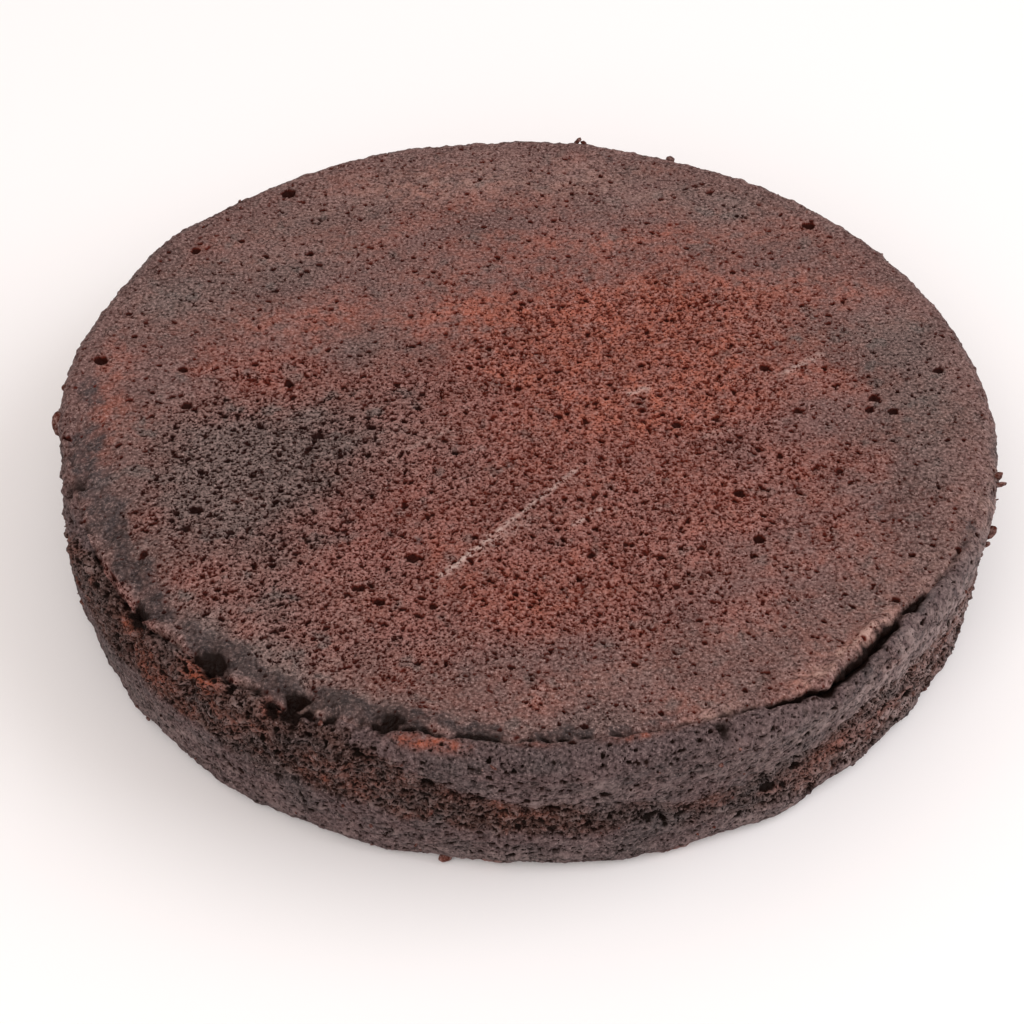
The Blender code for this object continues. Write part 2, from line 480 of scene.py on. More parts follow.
    def torn_depth(self, angle: Array, station: Array, wander: Array) -> Array:
        """Depth of the groove that the lining left, or of a tear that runs down from it.

        Args:
            angle: directions in radians.
            station: places along the section in mm.
            wander: how far the tears stray sideways, about -1 to 1.

        Returns:
            The greater depth in mm.
        """
        _, depth, half_width = self.crease.at(angle)
        whole = self.break_middle + self.break_swing * swell(self.ring(angle), self.break_run, 53)
        whole = np.clip(whole, *self.break_limits)
        whole = whole + (1 - whole) * self.torn_open(angle)
        off = np.abs(station - self.rim(angle)) / (self.slot_share * half_width)
        deepest = depth * whole * np.exp(-(off**self.slot_power))
        for degrees, width, cut, start, end in self.tears:
            off = np.degrees(turn_between(angle, math.radians(degrees))) / width
            ease = self.tear_ease
            along = plateau((start - ease, start, end - ease, end + ease), station)
            strayed = bell(off + self.tear_wander * wander, 1.0)
            deepest = np.maximum(deepest, cut * strayed * along)
        return deepest

    def torn_open(self, angle: Array) -> Array:
        """1 where the crease is torn open, 0 where it is only a groove."""
        return smooth_step(self.torn_from, self.torn_to, self.crease.at(angle)[1])

    def lip(self, angle: Array, station: Array) -> Array:
        """1 on the lip that stands up behind the torn crease, 0 away from it."""
        behind = station - self.rim(angle) + self.lip_spread
        return self.torn_open(angle) * bell(behind, self.lip_spread / 2)

    def lean(self, angle: Array, station: Array, wander: Array) -> Array:
        """How far the lip leans out over the crack, in mm."""
        behind = station - self.rim(angle) + self.lean_place
        most = self.lip_overhang * self.torn_open(angle)
        return bell(behind, self.lean_spread) * most * (self.lean_least + self.lean_stray * wander)

    def near_rim(self, station: Array) -> Array:
        """1 close to the crease, 0 well away from it."""
        return plateau(self.rim_zone, station)

    def sag_span(self, angle: Array) -> Array:
        """1 round the sagged front left, 0 elsewhere."""
        degrees = np.degrees(angle) % 360
        start, end, ease = self.sag_from, self.sag_to, self.sag_ease
        return plateau((start, start + ease, end - ease, end), degrees)

    def sag_share(self, angle: Array, station: Array) -> Array:
        """How much of the sag's drop is felt, from 0 to 1."""
        edges = (self.sag_inner, self.top_run, self.wall_start, self.sag_outer)
        return self.sag_span(angle) * plateau(edges, station)

    def swelling_rise(self, angle: Array, station: Array) -> Array:
        """Broad swellings and hollows of the shoulder, wall and foot, in mm."""
        total = np.zeros_like(station)
        for degrees, width, place, length, rise in self.swellings:
            off = np.degrees(turn_between(angle, math.radians(degrees))) / width
            total += rise * bell(off, 1.0) * bell(station - place, length)
        return total


@dataclass(frozen=True)
class Unevenness:
    """A random swell with a height and a size of its own.

    Attributes:
        height: its height in mm, or its weight in a mask.
        size: the spacing of its lattice in mm.
        salt: sets it apart from the others.
        layers: how many layers it has, each of half the last one's size.
    """

    height: float
    size: float
    salt: int
    layers: int = 1

    def at(self, points: Array) -> Array:
        """Its values at places in mm, shape (3, n)."""
        return self.height * rough(points, self.size, self.salt, self.layers)


class Mask(Enum):
    """What each vertex holds for the finishes to read, from 0 to 1."""

    # Depth of the pores, which darkens them: their dark crumb and painted shade
    PIT = "pit"
    # Depth of the tears and the crease, for the painted shade in them
    TORN = "torn"
    OPENED = "opened"
    EMBER = "ember"
    # Grey crumb, and painted shade behind the crease at the front left
    GREY_AND_SHADE = "grey"
    WET = "wet"
    SCRATCH = "scratch"
    # Pale crumb, and painted highlights and sheen
    PALE_AND_LIT = "pale"
    # The grain's height, for painted shade in its hollows and painted highlights on what stands up
    RELIEF = "relief"
    SIDE = "side"


Masks = dict[Mask, Array]


@dataclass
class Ground:
    """Where points lie on the plain section, and the shares of the zones that they lie in.

    Attributes:
        angle: directions in radians.
        station: runs along the section in mm.
        plain: places in mm, shape (3, n).
        layered: the places drawn out upwards, which leaves what follows them lying flat.
        outward: outward normals, shape (3, n).
        above_base: 1, falling to 0 where the section meets the base.
        top: 1 on the flat top.
        wall: 1 on the wall.
        foot: 1 on the foot.
        front: 1 at the front, which is the side that shows.
        band: 1 in the wall's torn band.
        wander: how far edges stray here, about -1 to 1.
        flakes: flakes of the wall, about -1 to 1.
        smears: long low bands across the top, about -1 to 1.
    """

    angle: Array
    station: Array
    plain: Array
    layered: Array
    outward: Array
    above_base: Array
    top: Array
    wall: Array
    foot: Array
    front: Array
    band: Array
    wander: Array
    flakes: Array
    smears: Array


@dataclass(frozen=True)
class Smears:
    """Long low bands that the tin's lining left, rising to the right across the top."""

    turn: float = 15.0
    length: float = 6.0
    bend: Unevenness = Unevenness(4.0, 35, 91)
    cloud: Unevenness = Unevenness(1.0, 5.5, 92, 3)

    def at(self, plain: Array) -> Array:
        """The bands, about -1 to 1, from a cloud drawn out along them."""
        turn = math.radians(self.turn)
        along = plain[0] * math.cos(turn) + plain[1] * math.sin(turn)
        across = plain[1] * math.cos(turn) - plain[0] * math.sin(turn)
        across = across + self.bend.at(plain)
        return self.cloud.at(np.array([along / self.length, across, plain[2] * 0]))


@dataclass(frozen=True)
class TornBand:
    """The band of torn crumb round the wall."""

    edge_crags: Unevenness = Unevenness(3.2, 9, 64, 3)
    edge_ease: float = 1.5
    # Where along the section it fades in, below the crease
    fade_from: float = 94.5
    fade_to: float = 97.5
    # Degrees, the band's upper and lower heights in mm, and its strength
    heights: RoundTable = RoundTable(
        (
            (0, 23, 5, 0.95),
            (45, 21, 8, 0.7),
            (90, 23, 9, 0.9),
            (135, 22, 9, 0.7),
            (180, 25, 10, 0.8),
            (196, 28, 13, 0.9),
            (207, 34, 14, 1.0),
            (218, 36, 15, 1.0),
            (235, 36, 16, 1.0),
            (250, 34, 15, 1.0),
            (259, 28, 14, 0.9),
            (266, 22.5, 12, 0.9),
            (275, 21.5, 12.5, 0.9),
            (284, 19, 10, 0.7),
            (292, 17, 9, 0.7),
            (300, 19, 6, 0.9),
            (312, 22.5, 4.5, 1.0),
            (325, 24.5, 4, 1.0),
            (340, 24.5, 4.5, 1.0),
        )
    )

    def share(self, angle: Array, station: Array, plain: Array) -> Array:
        """1 inside the band, 0 outside it, with a ragged edge.

        Args:
            angle: directions in radians.
            station: runs along the section in mm.
            plain: places on the plain section in mm.

        Returns:
            The band's share at each place.
        """
        high, low, strength = self.heights.at(angle)
        ragged = plain[2] + self.edge_crags.at(plain)
        ease = self.edge_ease
        inside = plateau((low - ease, low + ease, high - ease, high + ease), ragged)
        return inside * strength * smooth_step(self.fade_from, self.fade_to, station)


@dataclass(frozen=True)
class Relief:
    """The large unevenness in mm: swells, sagging folds, torn crags and the ragged rim."""

    top_swell: Unevenness = Unevenness(0.35, 32, 1)
    wall_swell: Unevenness = Unevenness(0.45, 19, 2)
    foot_swell: Unevenness = Unevenness(0.7, 8, 3)
    sag_swell: Unevenness = Unevenness(0.9, 11, 4)
    sag_folds: Unevenness = Unevenness(1.3, 6, 9, 3)
    band_crags: Unevenness = Unevenness(0.7, 5, 5, 2)
    wall_crags: Unevenness = Unevenness(0.30, 6, 6, 3)
    rim_crags: Unevenness = Unevenness(1.0, 3.4, 10, 3)
    # How deep the torn band lies, and how far flakes stand out in it and on the whole wall
    band_depth: float = 0.5
    band_flakes: float = 0.45
    wall_flakes: float = 0.22
    # How far the lip's height and the tears' places follow the straying
    lip_stray: float = 0.9
    tear_stray: float = 0.7
    # Crags near the rim: their least share, and what tearing and sagging add
    rim_least: float = 0.3
    rim_torn: float = 0.3
    rim_sagged: float = 0.5

    def tears(self, ground: Ground, form: Form) -> Array:
        """Depth of the groove, the crack and the tears."""
        strayed = ground.station + self.tear_stray * ground.wander
        return form.torn_depth(ground.angle, strayed, ground.wander)

    def moved(self, ground: Ground, form: Form, torn: Array) -> Array:
        """Moves the plain section along its normal by all that rises, and the sag down.

        Args:
            ground: the places.
            form: the cake's large form.
            torn: the tears' depth in mm.

        Returns:
            The moved places, shape (3, n).
        """
        plain, angle, station = ground.plain, ground.angle, ground.station
        sag = form.sag_share(angle, station)
        rise = ground.top * self.top_swell.at(plain)
        rise += ground.wall * self.wall_swell.at(plain)
        rise += ground.foot * self.foot_swell.at(plain)
        rise += sag * (self.sag_swell.at(plain) + self.sag_folds.at(plain))
        rise += form.swelling_rise(angle, station) * ground.above_base
        rise += form.lip_rise * form.lip(angle, station) * (1 + self.lip_stray * ground.wander)
        rise -= torn
        flakes = ground.flakes
        sunk = self.band_depth + self.band_crags.at(plain) - self.band_flakes * flakes
        rise -= ground.band * sunk
        rise += ground.wall * (self.wall_crags.at(plain) + self.wall_flakes * flakes)
        ragged = self.rim_least + self.rim_torn * form.torn_open(angle)
        ragged = ragged + self.rim_sagged * form.sag_span(angle)
        rise += form.near_rim(station) * ragged * self.rim_crags.at(plain)
        base = plain + ground.outward * rise
        base[2] -= form.sag_drop * sag
        return base


@dataclass(frozen=True)
class Colouring:
    """Patches of open, red, grey, pale and wet crumb, with scratches, painted shade and painted
    highlights, as masks from 0 to 1.
    """

    # Where the top's crumb lies open, with its pores close together
    open_patches: tuple[Patch, ...] = (
        Patch(8, -12, 62, 50, 15, 1.0),
        Patch(-50, -20, 26, 32, 60, 0.8),
        Patch(30, 25, 30, 16, 20, 0.5),
        Patch(-5, -55, 40, 18, 0, 0.5),
        Patch(-42, -62, 34, 15, -30, 0.55),
    )
    # Reddish crumb
    ember_patches: tuple[Patch, ...] = (
        Patch(24, 14, 46, 22, 22, 0.55),
        Patch(14, 34, 46, 12, 10, 0.6),
        Patch(10, 16, 16, 9, 20, 0.6),
        Patch(26, 0, 20, 9, 25, 0.5),
        Patch(44, 18, 16, 7, 20, 0.35),
        Patch(-6, 30, 16, 8, 15, 0.4),
        Patch(6, 56, 30, 7, 12, 0.4),
        Patch(-5, -58, 22, 8, 0, 0.35),
        Patch(20, -35, 30, 14, 30, 0.25),
        Patch(-90, 0, 5, 14, 5, 0.5),
        Patch(-80, -14, 5, 12, 20, 0.3),
        Patch(-42, -66, 34, 13, -30, 0.18),
        Patch(-24, 70, 20, 10, 10, 0.35),
        Patch(-42, 30, 15, 12, 0, 0.30),
        Patch(20, -80, 44, 8, 4, 0.22),
    )
    # Grey-green crumb and grey smears
    grey_patches: tuple[Patch, ...] = (
        Patch(-46, -14, 24, 16, 20, 0.95),
        Patch(-60, -34, 18, 16, 0, 0.65),
        Patch(-70, -14, 14, 16, 0, 0.6),
        Patch(-34, 19, 9, 6, 0, 0.6),
        Patch(84, 4, 12, 26, 0, 0.75),
        Patch(70, 28, 16, 10, 0, 0.5),
        Patch(47, 74, 14, 8, 0, 0.5),
        Patch(-66, 40, 30, 10, 15, 0.6),
        Patch(-46, 66, 34, 9, 20, 0.3),
        Patch(10, 82, 50, 7, 0, 0.15),
        Patch(22, -78, 40, 9, 5, 0.3),
        Patch(-44, -76, 22, 7, -28, 0.4),
        Patch(-44, -60, 32, 15, -30, 0.45),
        Patch(68, -54, 22, 10, 40, 0.35),
        Patch(-80, 30, 10, 12, 0, 0.4),
    )
    scratches: tuple[Scratch, ...] = (
        Scratch((-19, -55), (13.5, -16), 0.65, 0.95),
        Scratch((-17, -52), (3, -33), 1.1, 0.5),
        Scratch((9.0, -37), (17, -30), 0.6, 0.8),
        Scratch((21, 4.5), (27, 7.5), 0.9, 0.9),
        Scratch((54, 12), (65, 21), 0.9, 0.8),
        Scratch((36, -8), (44, -5), 0.8, 0.5),
        Scratch((-30, -19), (-15, -7), 0.6, 0.45),
    )
    # Red crumb and chips round the rim, dark wet skin, and pale crumb with painted highlights: on
    # lumps and on the lips by the crack, over the right side of the wall, and a painted sheen at the
    # back of the top
    rim_embers: tuple[RimPatch, ...] = (
        RimPatch(231.0, 99.0, 5.0, 2.0, 2.0),
        RimPatch(241.5, 97.2, 1.8, 1.7, 0.9),
        RimPatch(219.5, 100.6, 1.6, 2.6, 0.8),
        RimPatch(260.0, 96.6, 6.5, 1.5, 1.0),
        RimPatch(283.0, 95.0, 4.0, 0.9, 0.8),
        RimPatch(272.0, 95.2, 3.0, 0.8, 0.5),
        RimPatch(304.0, 94.6, 6.0, 1.6, 0.8),
        RimPatch(314.0, 92.6, 6.0, 1.2, 0.5),
        RimPatch(316.0, 101.0, 4.0, 2.0, 0.5),
        RimPatch(268.0, 131.0, 3.0, 2.0, 0.7),
        RimPatch(290.0, 131.0, 7.0, 1.5, 0.4),
        RimPatch(338.0, 112.0, 12.0, 3.0, 0.8),
        RimPatch(326.0, 116.0, 12.0, 2.0, 0.6),
        RimPatch(312.0, 117.0, 14.0, 2.5, 0.5),
        RimPatch(300.0, 120.0, 10.0, 2.0, 0.4),
        RimPatch(330.0, 117.0, 40.0, 7.0, 0.35),
        RimPatch(252.0, 108.0, 14.0, 5.0, 0.3),
        RimPatch(225.0, 108.0, 16.0, 5.0, 0.35),
    )
    wet_skins: tuple[RimPatch, ...] = (
        RimPatch(180.0, 92.5, 10.0, 3.2, 0.8),
        RimPatch(190.0, 92.5, 11.0, 4.2, 1.2),
        RimPatch(203.0, 91.8, 12.0, 4.4, 1.2),
        RimPatch(214.0, 92.8, 8.0, 3.4, 1.1),
        RimPatch(222.0, 93.4, 7.0, 3.2, 1.0),
        RimPatch(231.0, 92.4, 7.5, 3.4, 1.4),
        RimPatch(240.0, 92.6, 6.5, 3.0, 1.3),
        RimPatch(249.0, 92.0, 8.0, 3.2, 1.4),
        RimPatch(257.0, 91.8, 7.0, 2.8, 1.2),
        RimPatch(266.0, 92.4, 8.0, 2.2, 1.1),
        RimPatch(276.0, 92.6, 8.0, 2.0, 1.0),
        RimPatch(286.0, 92.4, 7.0, 1.5, 0.6),
        RimPatch(313.0, 98.5, 7.0, 2.2, 0.8),
        RimPatch(326.0, 96.5, 7.0, 1.6, 0.7),
        RimPatch(338.0, 96.5, 9.0, 1.6, 0.6),
    )
    pale_and_lit_patches: tuple[RimPatch, ...] = (
        RimPatch(226.0, 97.2, 4.0, 1.4, 0.6),
        RimPatch(237.5, 98.0, 4.0, 2.2, 0.8),
        RimPatch(245.5, 94.6, 4.0, 0.9, 0.8),
        RimPatch(293.0, 93.6, 5.0, 1.2, 0.6),
        RimPatch(306.0, 95.0, 5.0, 1.0, 1.1),
        RimPatch(312.0, 93.2, 9.0, 1.1, 0.8),
        RimPatch(318.0, 92.9, 5.0, 0.9, 0.7),
        RimPatch(320.0, 99.5, 5.0, 1.6, 0.8),
        RimPatch(328.0, 104.0, 6.0, 2.0, 0.6),
        RimPatch(208.0, 99.5, 6.0, 1.8, 0.5),
        RimPatch(278.0, 108.0, 12.0, 4.0, 0.3),
        RimPatch(300.0, 106.0, 12.0, 4.0, 0.4),
        RimPatch(316.0, 106.0, 14.0, 4.5, 0.95),
        RimPatch(332.0, 107.0, 14.0, 5.0, 1.0),
        RimPatch(346.0, 108.0, 14.0, 6.0, 0.9),
        RimPatch(318.0, 122.0, 20.0, 2.6, 0.8),
        RimPatch(300.0, 127.0, 16.0, 3.0, 0.45),
        RimPatch(340.0, 121.0, 18.0, 4.0, 0.7),
        RimPatch(2.0, 110.0, 16.0, 8.0, 0.6),
        RimPatch(266.0, 127.0, 24.0, 3.0, 0.35),
        RimPatch(225.0, 124.0, 30.0, 5.0, 0.35),
        RimPatch(190.0, 108.0, 20.0, 6.0, 0.35),
        RimPatch(95.0, 82.0, 62.0, 9.0, 0.30),
        RimPatch(333.0, 112.0, 46.0, 15.0, 0.7),
        RimPatch(325.0, 129.0, 30.0, 4.0, 0.5),
    )
    # Clouds that break the patches up
    open_blotch: Unevenness = Unevenness(0.22, 14, 61, 4)
    ember_blotch: Unevenness = Unevenness(0.3, 14, 61, 4)
    grey_cloud: Unevenness = Unevenness(0.2, 9, 62, 3)
    grey_spots: Unevenness = Unevenness(1.0, 5.5, 67, 3)
    wall_grey: Unevenness = Unevenness(0.9, 13, 68, 4)
    wall_ember: Unevenness = Unevenness(0.9, 5, 63, 3)
    rim_breaks: Unevenness = Unevenness(0.9, 2.6, 66, 2)
    wet_breaks: Unevenness = Unevenness(0.60, 5, 65, 4)
    scratch_breaks: Unevenness = Unevenness(0.8, 1.1, 84)
    # How much of the smears is red, and how much grey
    smear_ember: float = 0.35
    smear_grey: float = 0.3
    ember_least: float = 0.12
    wall_ember_share: float = 0.35
    spot_share: float = 0.45
    # Painted shade, laid in as grey, behind the crease at the front left: degrees, places and
    # strength
    painted_shade_turns: tuple[float, float, float, float] = (190.0, 205.0, 276.0, 296.0)
    painted_shade_places: tuple[float, float] = (84.0, 92.0)
    painted_shade_share: float = 0.4
    # Where the top's patches of red give way to the rim's
    rim_from: float = 92.0
    rim_to: float = 96.0
    # How much wet skin at the front darkens with a tear's painted shade, and a tear's depth that is
    # painted black
    wet_dark: float = 0.36
    painted_black_depth: float = 2.0

    def opened(self, ground: Ground) -> Array:
        """1 where the top's crumb lies open."""
        opened = self.sum_of(self.open_patches, ground) + self.open_blotch.at(ground.plain)
        return smooth_step(0.15, 0.85, opened) * ground.top

    def ember(self, ground: Ground, ragged: Array) -> Array:
        """Red crumb of the top, the torn band and the rim."""
        plain, station = ground.plain, ground.station
        ember = self.sum_of(self.ember_patches, ground) + self.ember_blotch.at(plain)
        ember = ember + self.smear_ember * ground.smears + self.ember_least
        ember = np.clip(ember, 0, 1) * ground.top
        wall = np.clip(0.1 + self.wall_ember.at(plain), 0, 1) * np.clip(ground.band + 0.1, 0, 1)
        ember = ember * smooth_step(self.rim_to, self.rim_from, station)
        ember = ember + self.wall_ember_share * wall * ground.wall
        return ember + self.rim_sum(self.rim_embers, ground) * ragged

    def grey(self, ground: Ground) -> Array:
        """Grey-green crumb of the top, grey crumb of the wall, and painted shade behind the crease at
        the front left.
        """
        degrees = np.degrees(ground.angle) % 360
        # Painted shade behind the crease at the front left
        painted_shade = smooth_step(*self.painted_shade_places, ground.station) * ground.top
        painted_shade = painted_shade * plateau(self.painted_shade_turns, degrees)
        grey = self.sum_of(self.grey_patches, ground) + self.smear_grey * ground.smears
        grey = grey + self.grey_cloud.at(ground.plain)
        spots = smooth_step(0.25, 0.75, self.grey_spots.at(ground.plain))
        grey = (grey + self.spot_share * spots) * ground.top + self.painted_shade_share * painted_shade
        return grey + np.clip(0.25 + self.wall_grey.at(ground.layered), 0, 1) * ground.wall

    def wetness(self, ground: Ground) -> Array:
        """1 where the rim's skin is smooth, dark and wet, with a ragged edge."""
        patches = self.rim_sum(self.wet_skins, ground)
        return smooth_step(0.28, 1.00, patches + self.wet_breaks.at(ground.plain))

    def scratched(self, ground: Ground) -> Array:
        """1 on the light scratches of the top."""
        x, y = ground.plain[0], ground.plain[1]
        scratch = sum((line.weight(x, y) for line in self.scratches), np.zeros_like(x))
        return scratch * np.clip(0.60 + self.scratch_breaks.at(ground.plain), 0, 1) * ground.top

    def ragged(self, plain: Array) -> Array:
        """What breaks up the red and pale patches of the rim, from 0 to 1.4."""
        return np.clip(0.9 + self.rim_breaks.at(plain), 0, 1.4)

    def masks(self, ground: Ground, form: Form, torn: Array) -> Masks:
        """All the masks that don't depend on the pores.

        Args:
            ground: the places.
            form: the cake's large form.
            torn: the tears' depth in mm.

        Returns:
            The masks, some of them past 1 where patches overlap.
        """
        ragged = self.ragged(ground.plain)
        wet = self.wetness(ground)
        return {
            # The tears' painted shade, which also darkens wet skin at the front
            Mask.TORN: torn / self.painted_black_depth + self.wet_dark * wet * ground.front,
            Mask.OPENED: self.opened(ground),
            Mask.EMBER: self.ember(ground, ragged),
            Mask.GREY_AND_SHADE: self.grey(ground),
            Mask.WET: wet,
            Mask.SCRATCH: self.scratched(ground),
            # Pale crumb with painted highlights and sheen
            Mask.PALE_AND_LIT: self.rim_sum(self.pale_and_lit_patches, ground) * ragged,
            Mask.SIDE: self.side(ground, form),
        }

    def side(self, ground: Ground, form: Form) -> Array:
        """0 on the top and 1 on the wall; at the front it begins and ends nearer the top."""
        start = form.top_run - 3 * ground.front
        end = form.wall_start + 2 - 8 * ground.front
        return smooth_step(start, end, ground.station + ground.wander)

    def sum_of(self, patches: tuple[Patch, ...], ground: Ground) -> Array:
        """The top's patches together."""
        x, y = ground.plain[0], ground.plain[1]
        return sum((patch.weight(x, y) for patch in patches), np.zeros_like(x))

    def rim_sum(self, patches: tuple[RimPatch, ...], ground: Ground) -> Array:
        """The rim's patches together."""
        weights = (patch.weight(ground.angle, ground.station) for patch in patches)
        return sum(weights, np.zeros_like(ground.station))


@dataclass(frozen=True)
class Pores:
    """Gas bubbles that the surface cuts open."""

    fine: Bubbles = Bubbles(1.02, 0.27, 0.54, 1.8, 11)
    medium: Bubbles = Bubbles(1.8, 0.42, 0.80, 1.5, 23)
    large: Bubbles = Bubbles(4.3, 0.7, 1.35, 1.3, 37)
    voids: Bubbles = Bubbles(6.2, 1.1, 2.3, 1.0, 41)
    # Each kind's share of cells: on skin, added on open crumb, in the torn band, on the wall
    fine_share: tuple[float, ...] = (0.26, 0.90, 0.95, 0.45)
    medium_share: tuple[float, ...] = (0.16, 0.34, 0.90, 0.40)
    large_share: tuple[float, ...] = (0.06, 0.03, 0.85, 0.12)
    void_share: float = 0.75
    void_from: float = 0.3
    # Upright squeeze of the bubbles, which leaves them longer than high
    squeeze: float = 1.5
    deepest: float = 3.0
    hole_depth: float = 1.2
    wet_share: float = 0.6
    # Bends of the lattice: height and spacing in mm, and the salts of the three directions
    bends: tuple[tuple[float, float, tuple[int, int, int]], ...] = (
        (0.22, 0.9, (71, 72, 73)),
        (0.35, 2.1, (74, 75, 76)),
    )
    # Holes a finger's tip could feel: place to the right and back, and radius
    holes: tuple[tuple[float, float, float], ...] = (
        (-31.6, -55.3, 1.0),
        (-27.9, -59.0, 1.3),
        (-17.3, -60.0, 0.9),
        (-24.2, -31.8, 0.8),
        (-9.7, -40.0, 0.8),
        (31.6, -4.4, 1.2),
        (44.2, -24.9, 1.2),
        (47.5, -38.4, 1.3),
        (64.2, 66.5, 1.5),
        (78.0, 1.6, 1.2),
        (-57.0, 73.6, 1.8),
        (-76.2, 51.0, 1.3),
        (-92.1, 11.6, 1.6),
        (-74.1, 9.0, 1.1),
    )

    def depth(self, ground: Ground, base: Array, opened: Array, wet: Array) -> Array:
        """How deep the bubbles cut below the moved surface.

        Args:
            ground: the places.
            base: the moved surface, shape (3, n).
            opened: 1 where the top's crumb lies open.
            wet: 1 on wet skin.

        Returns:
            Depth in mm.
        """
        inward = -ground.outward
        warped = base
        for height, size, salts in self.bends:
            warped = warped + height * np.array([swell(base, size, salt) for salt in salts])
        lattice = warped * np.array([[1.0], [1.0], [self.squeeze]])
        quiet = (1 - self.wet_share * wet) * ground.above_base
        pores = np.zeros(base.shape[1], np.float32)
        kinds = (
            (self.fine, self.fine_share),
            (self.medium, self.medium_share),
            (self.large, self.large_share),
        )
        for bubbles, (skin, crumb, band, wall) in kinds:
            share = (skin + crumb * opened) * ground.top + band * ground.band
            share = share + wall * ground.wall * (1 - ground.band)
            pores = np.maximum(pores, bubbles.cut(lattice, inward, share * quiet))
        share = np.clip(ground.band - self.void_from, 0, 1) * self.void_share
        pores = np.maximum(pores, self.voids.cut(lattice, inward, share * ground.above_base))
        for x, y, radius in self.holes:
            gap = radius**2 - (warped[0] - x) ** 2 - (warped[1] - y) ** 2
            cut = np.sqrt(np.maximum(gap, 0)) * self.hole_depth * (ground.top > 0.3)
            pores = np.maximum(pores, cut)
        return np.minimum(pores, self.deepest)


@dataclass(frozen=True)
class Grain:
    """The crumb's fine grain in mm, and the mask of what stands up or lies low in it, which steers
    painted shade and painted highlights.
    """

    fine: Unevenness = Unevenness(0.05, 0.8, 81)
    middling: Unevenness = Unevenness(0.08, 1.7, 82)
    coarse: Unevenness = Unevenness(1.0, 1.3, 83, 2)
    layers: Unevenness = Unevenness(0.32, 4.5, 8, 2)
    # Height of the coarse grain on open crumb, in the band, near the rim and on the wall
    opened_height: float = 0.08
    band_height: float = 0.30
    rim_height: float = 0.12
    wall_height: float = 0.13
    smear_height: float = 0.05
    scratch_height: float = 0.10
    wet_share: float = 0.3

    def height(self, ground: Ground, base: Array, coarse: Array, form: Form, masks: Masks) -> Array:
        """The grain's height in mm.

        Args:
            ground: the places.
            base: the moved surface, shape (3, n).
            coarse: the coarse grain, about -1 to 1.
            form: the cake's large form.
            masks: the colouring's masks.

        Returns:
            Height along the normal.
        """
        coarseness = self.opened_height * masks[Mask.OPENED] + self.band_height * ground.band
        coarseness = coarseness + self.rim_height * form.near_rim(ground.station)
        coarseness = coarseness + self.wall_height * ground.wall
        grain = self.fine.at(base) + self.middling.at(base)
        grain = grain * (1 - self.wet_share * masks[Mask.WET]) + coarseness * coarse
        grain = grain + self.smear_height * ground.smears * ground.top
        return grain + self.scratch_height * masks[Mask.SCRATCH]

    def relief(self, ground: Ground, coarse: Array, opened: Array) -> Array:
        """0 in the grain's hollows, 0.5 at its middle and 1 on what stands up; the finishes paint
        shade in the hollows and highlights on what stands up.
        """
        relief = 0.5 + 0.5 * coarse * (0.45 + 0.35 * opened * ground.top)
        layered = 0.40 * ground.flakes + self.layers.at(ground.layered)
        return relief + ground.wall * layered * (0.9 + 0.2 * ground.band)


@dataclass
class Sample:
    """Points of the finished surface.

    Attributes:
        points: places in mm, shape (3, n).
        outward: the plain section's outward normals, shape (3, n).
        masks: what the finishes read.
    """

    points: Array
    outward: Array
    masks: Masks


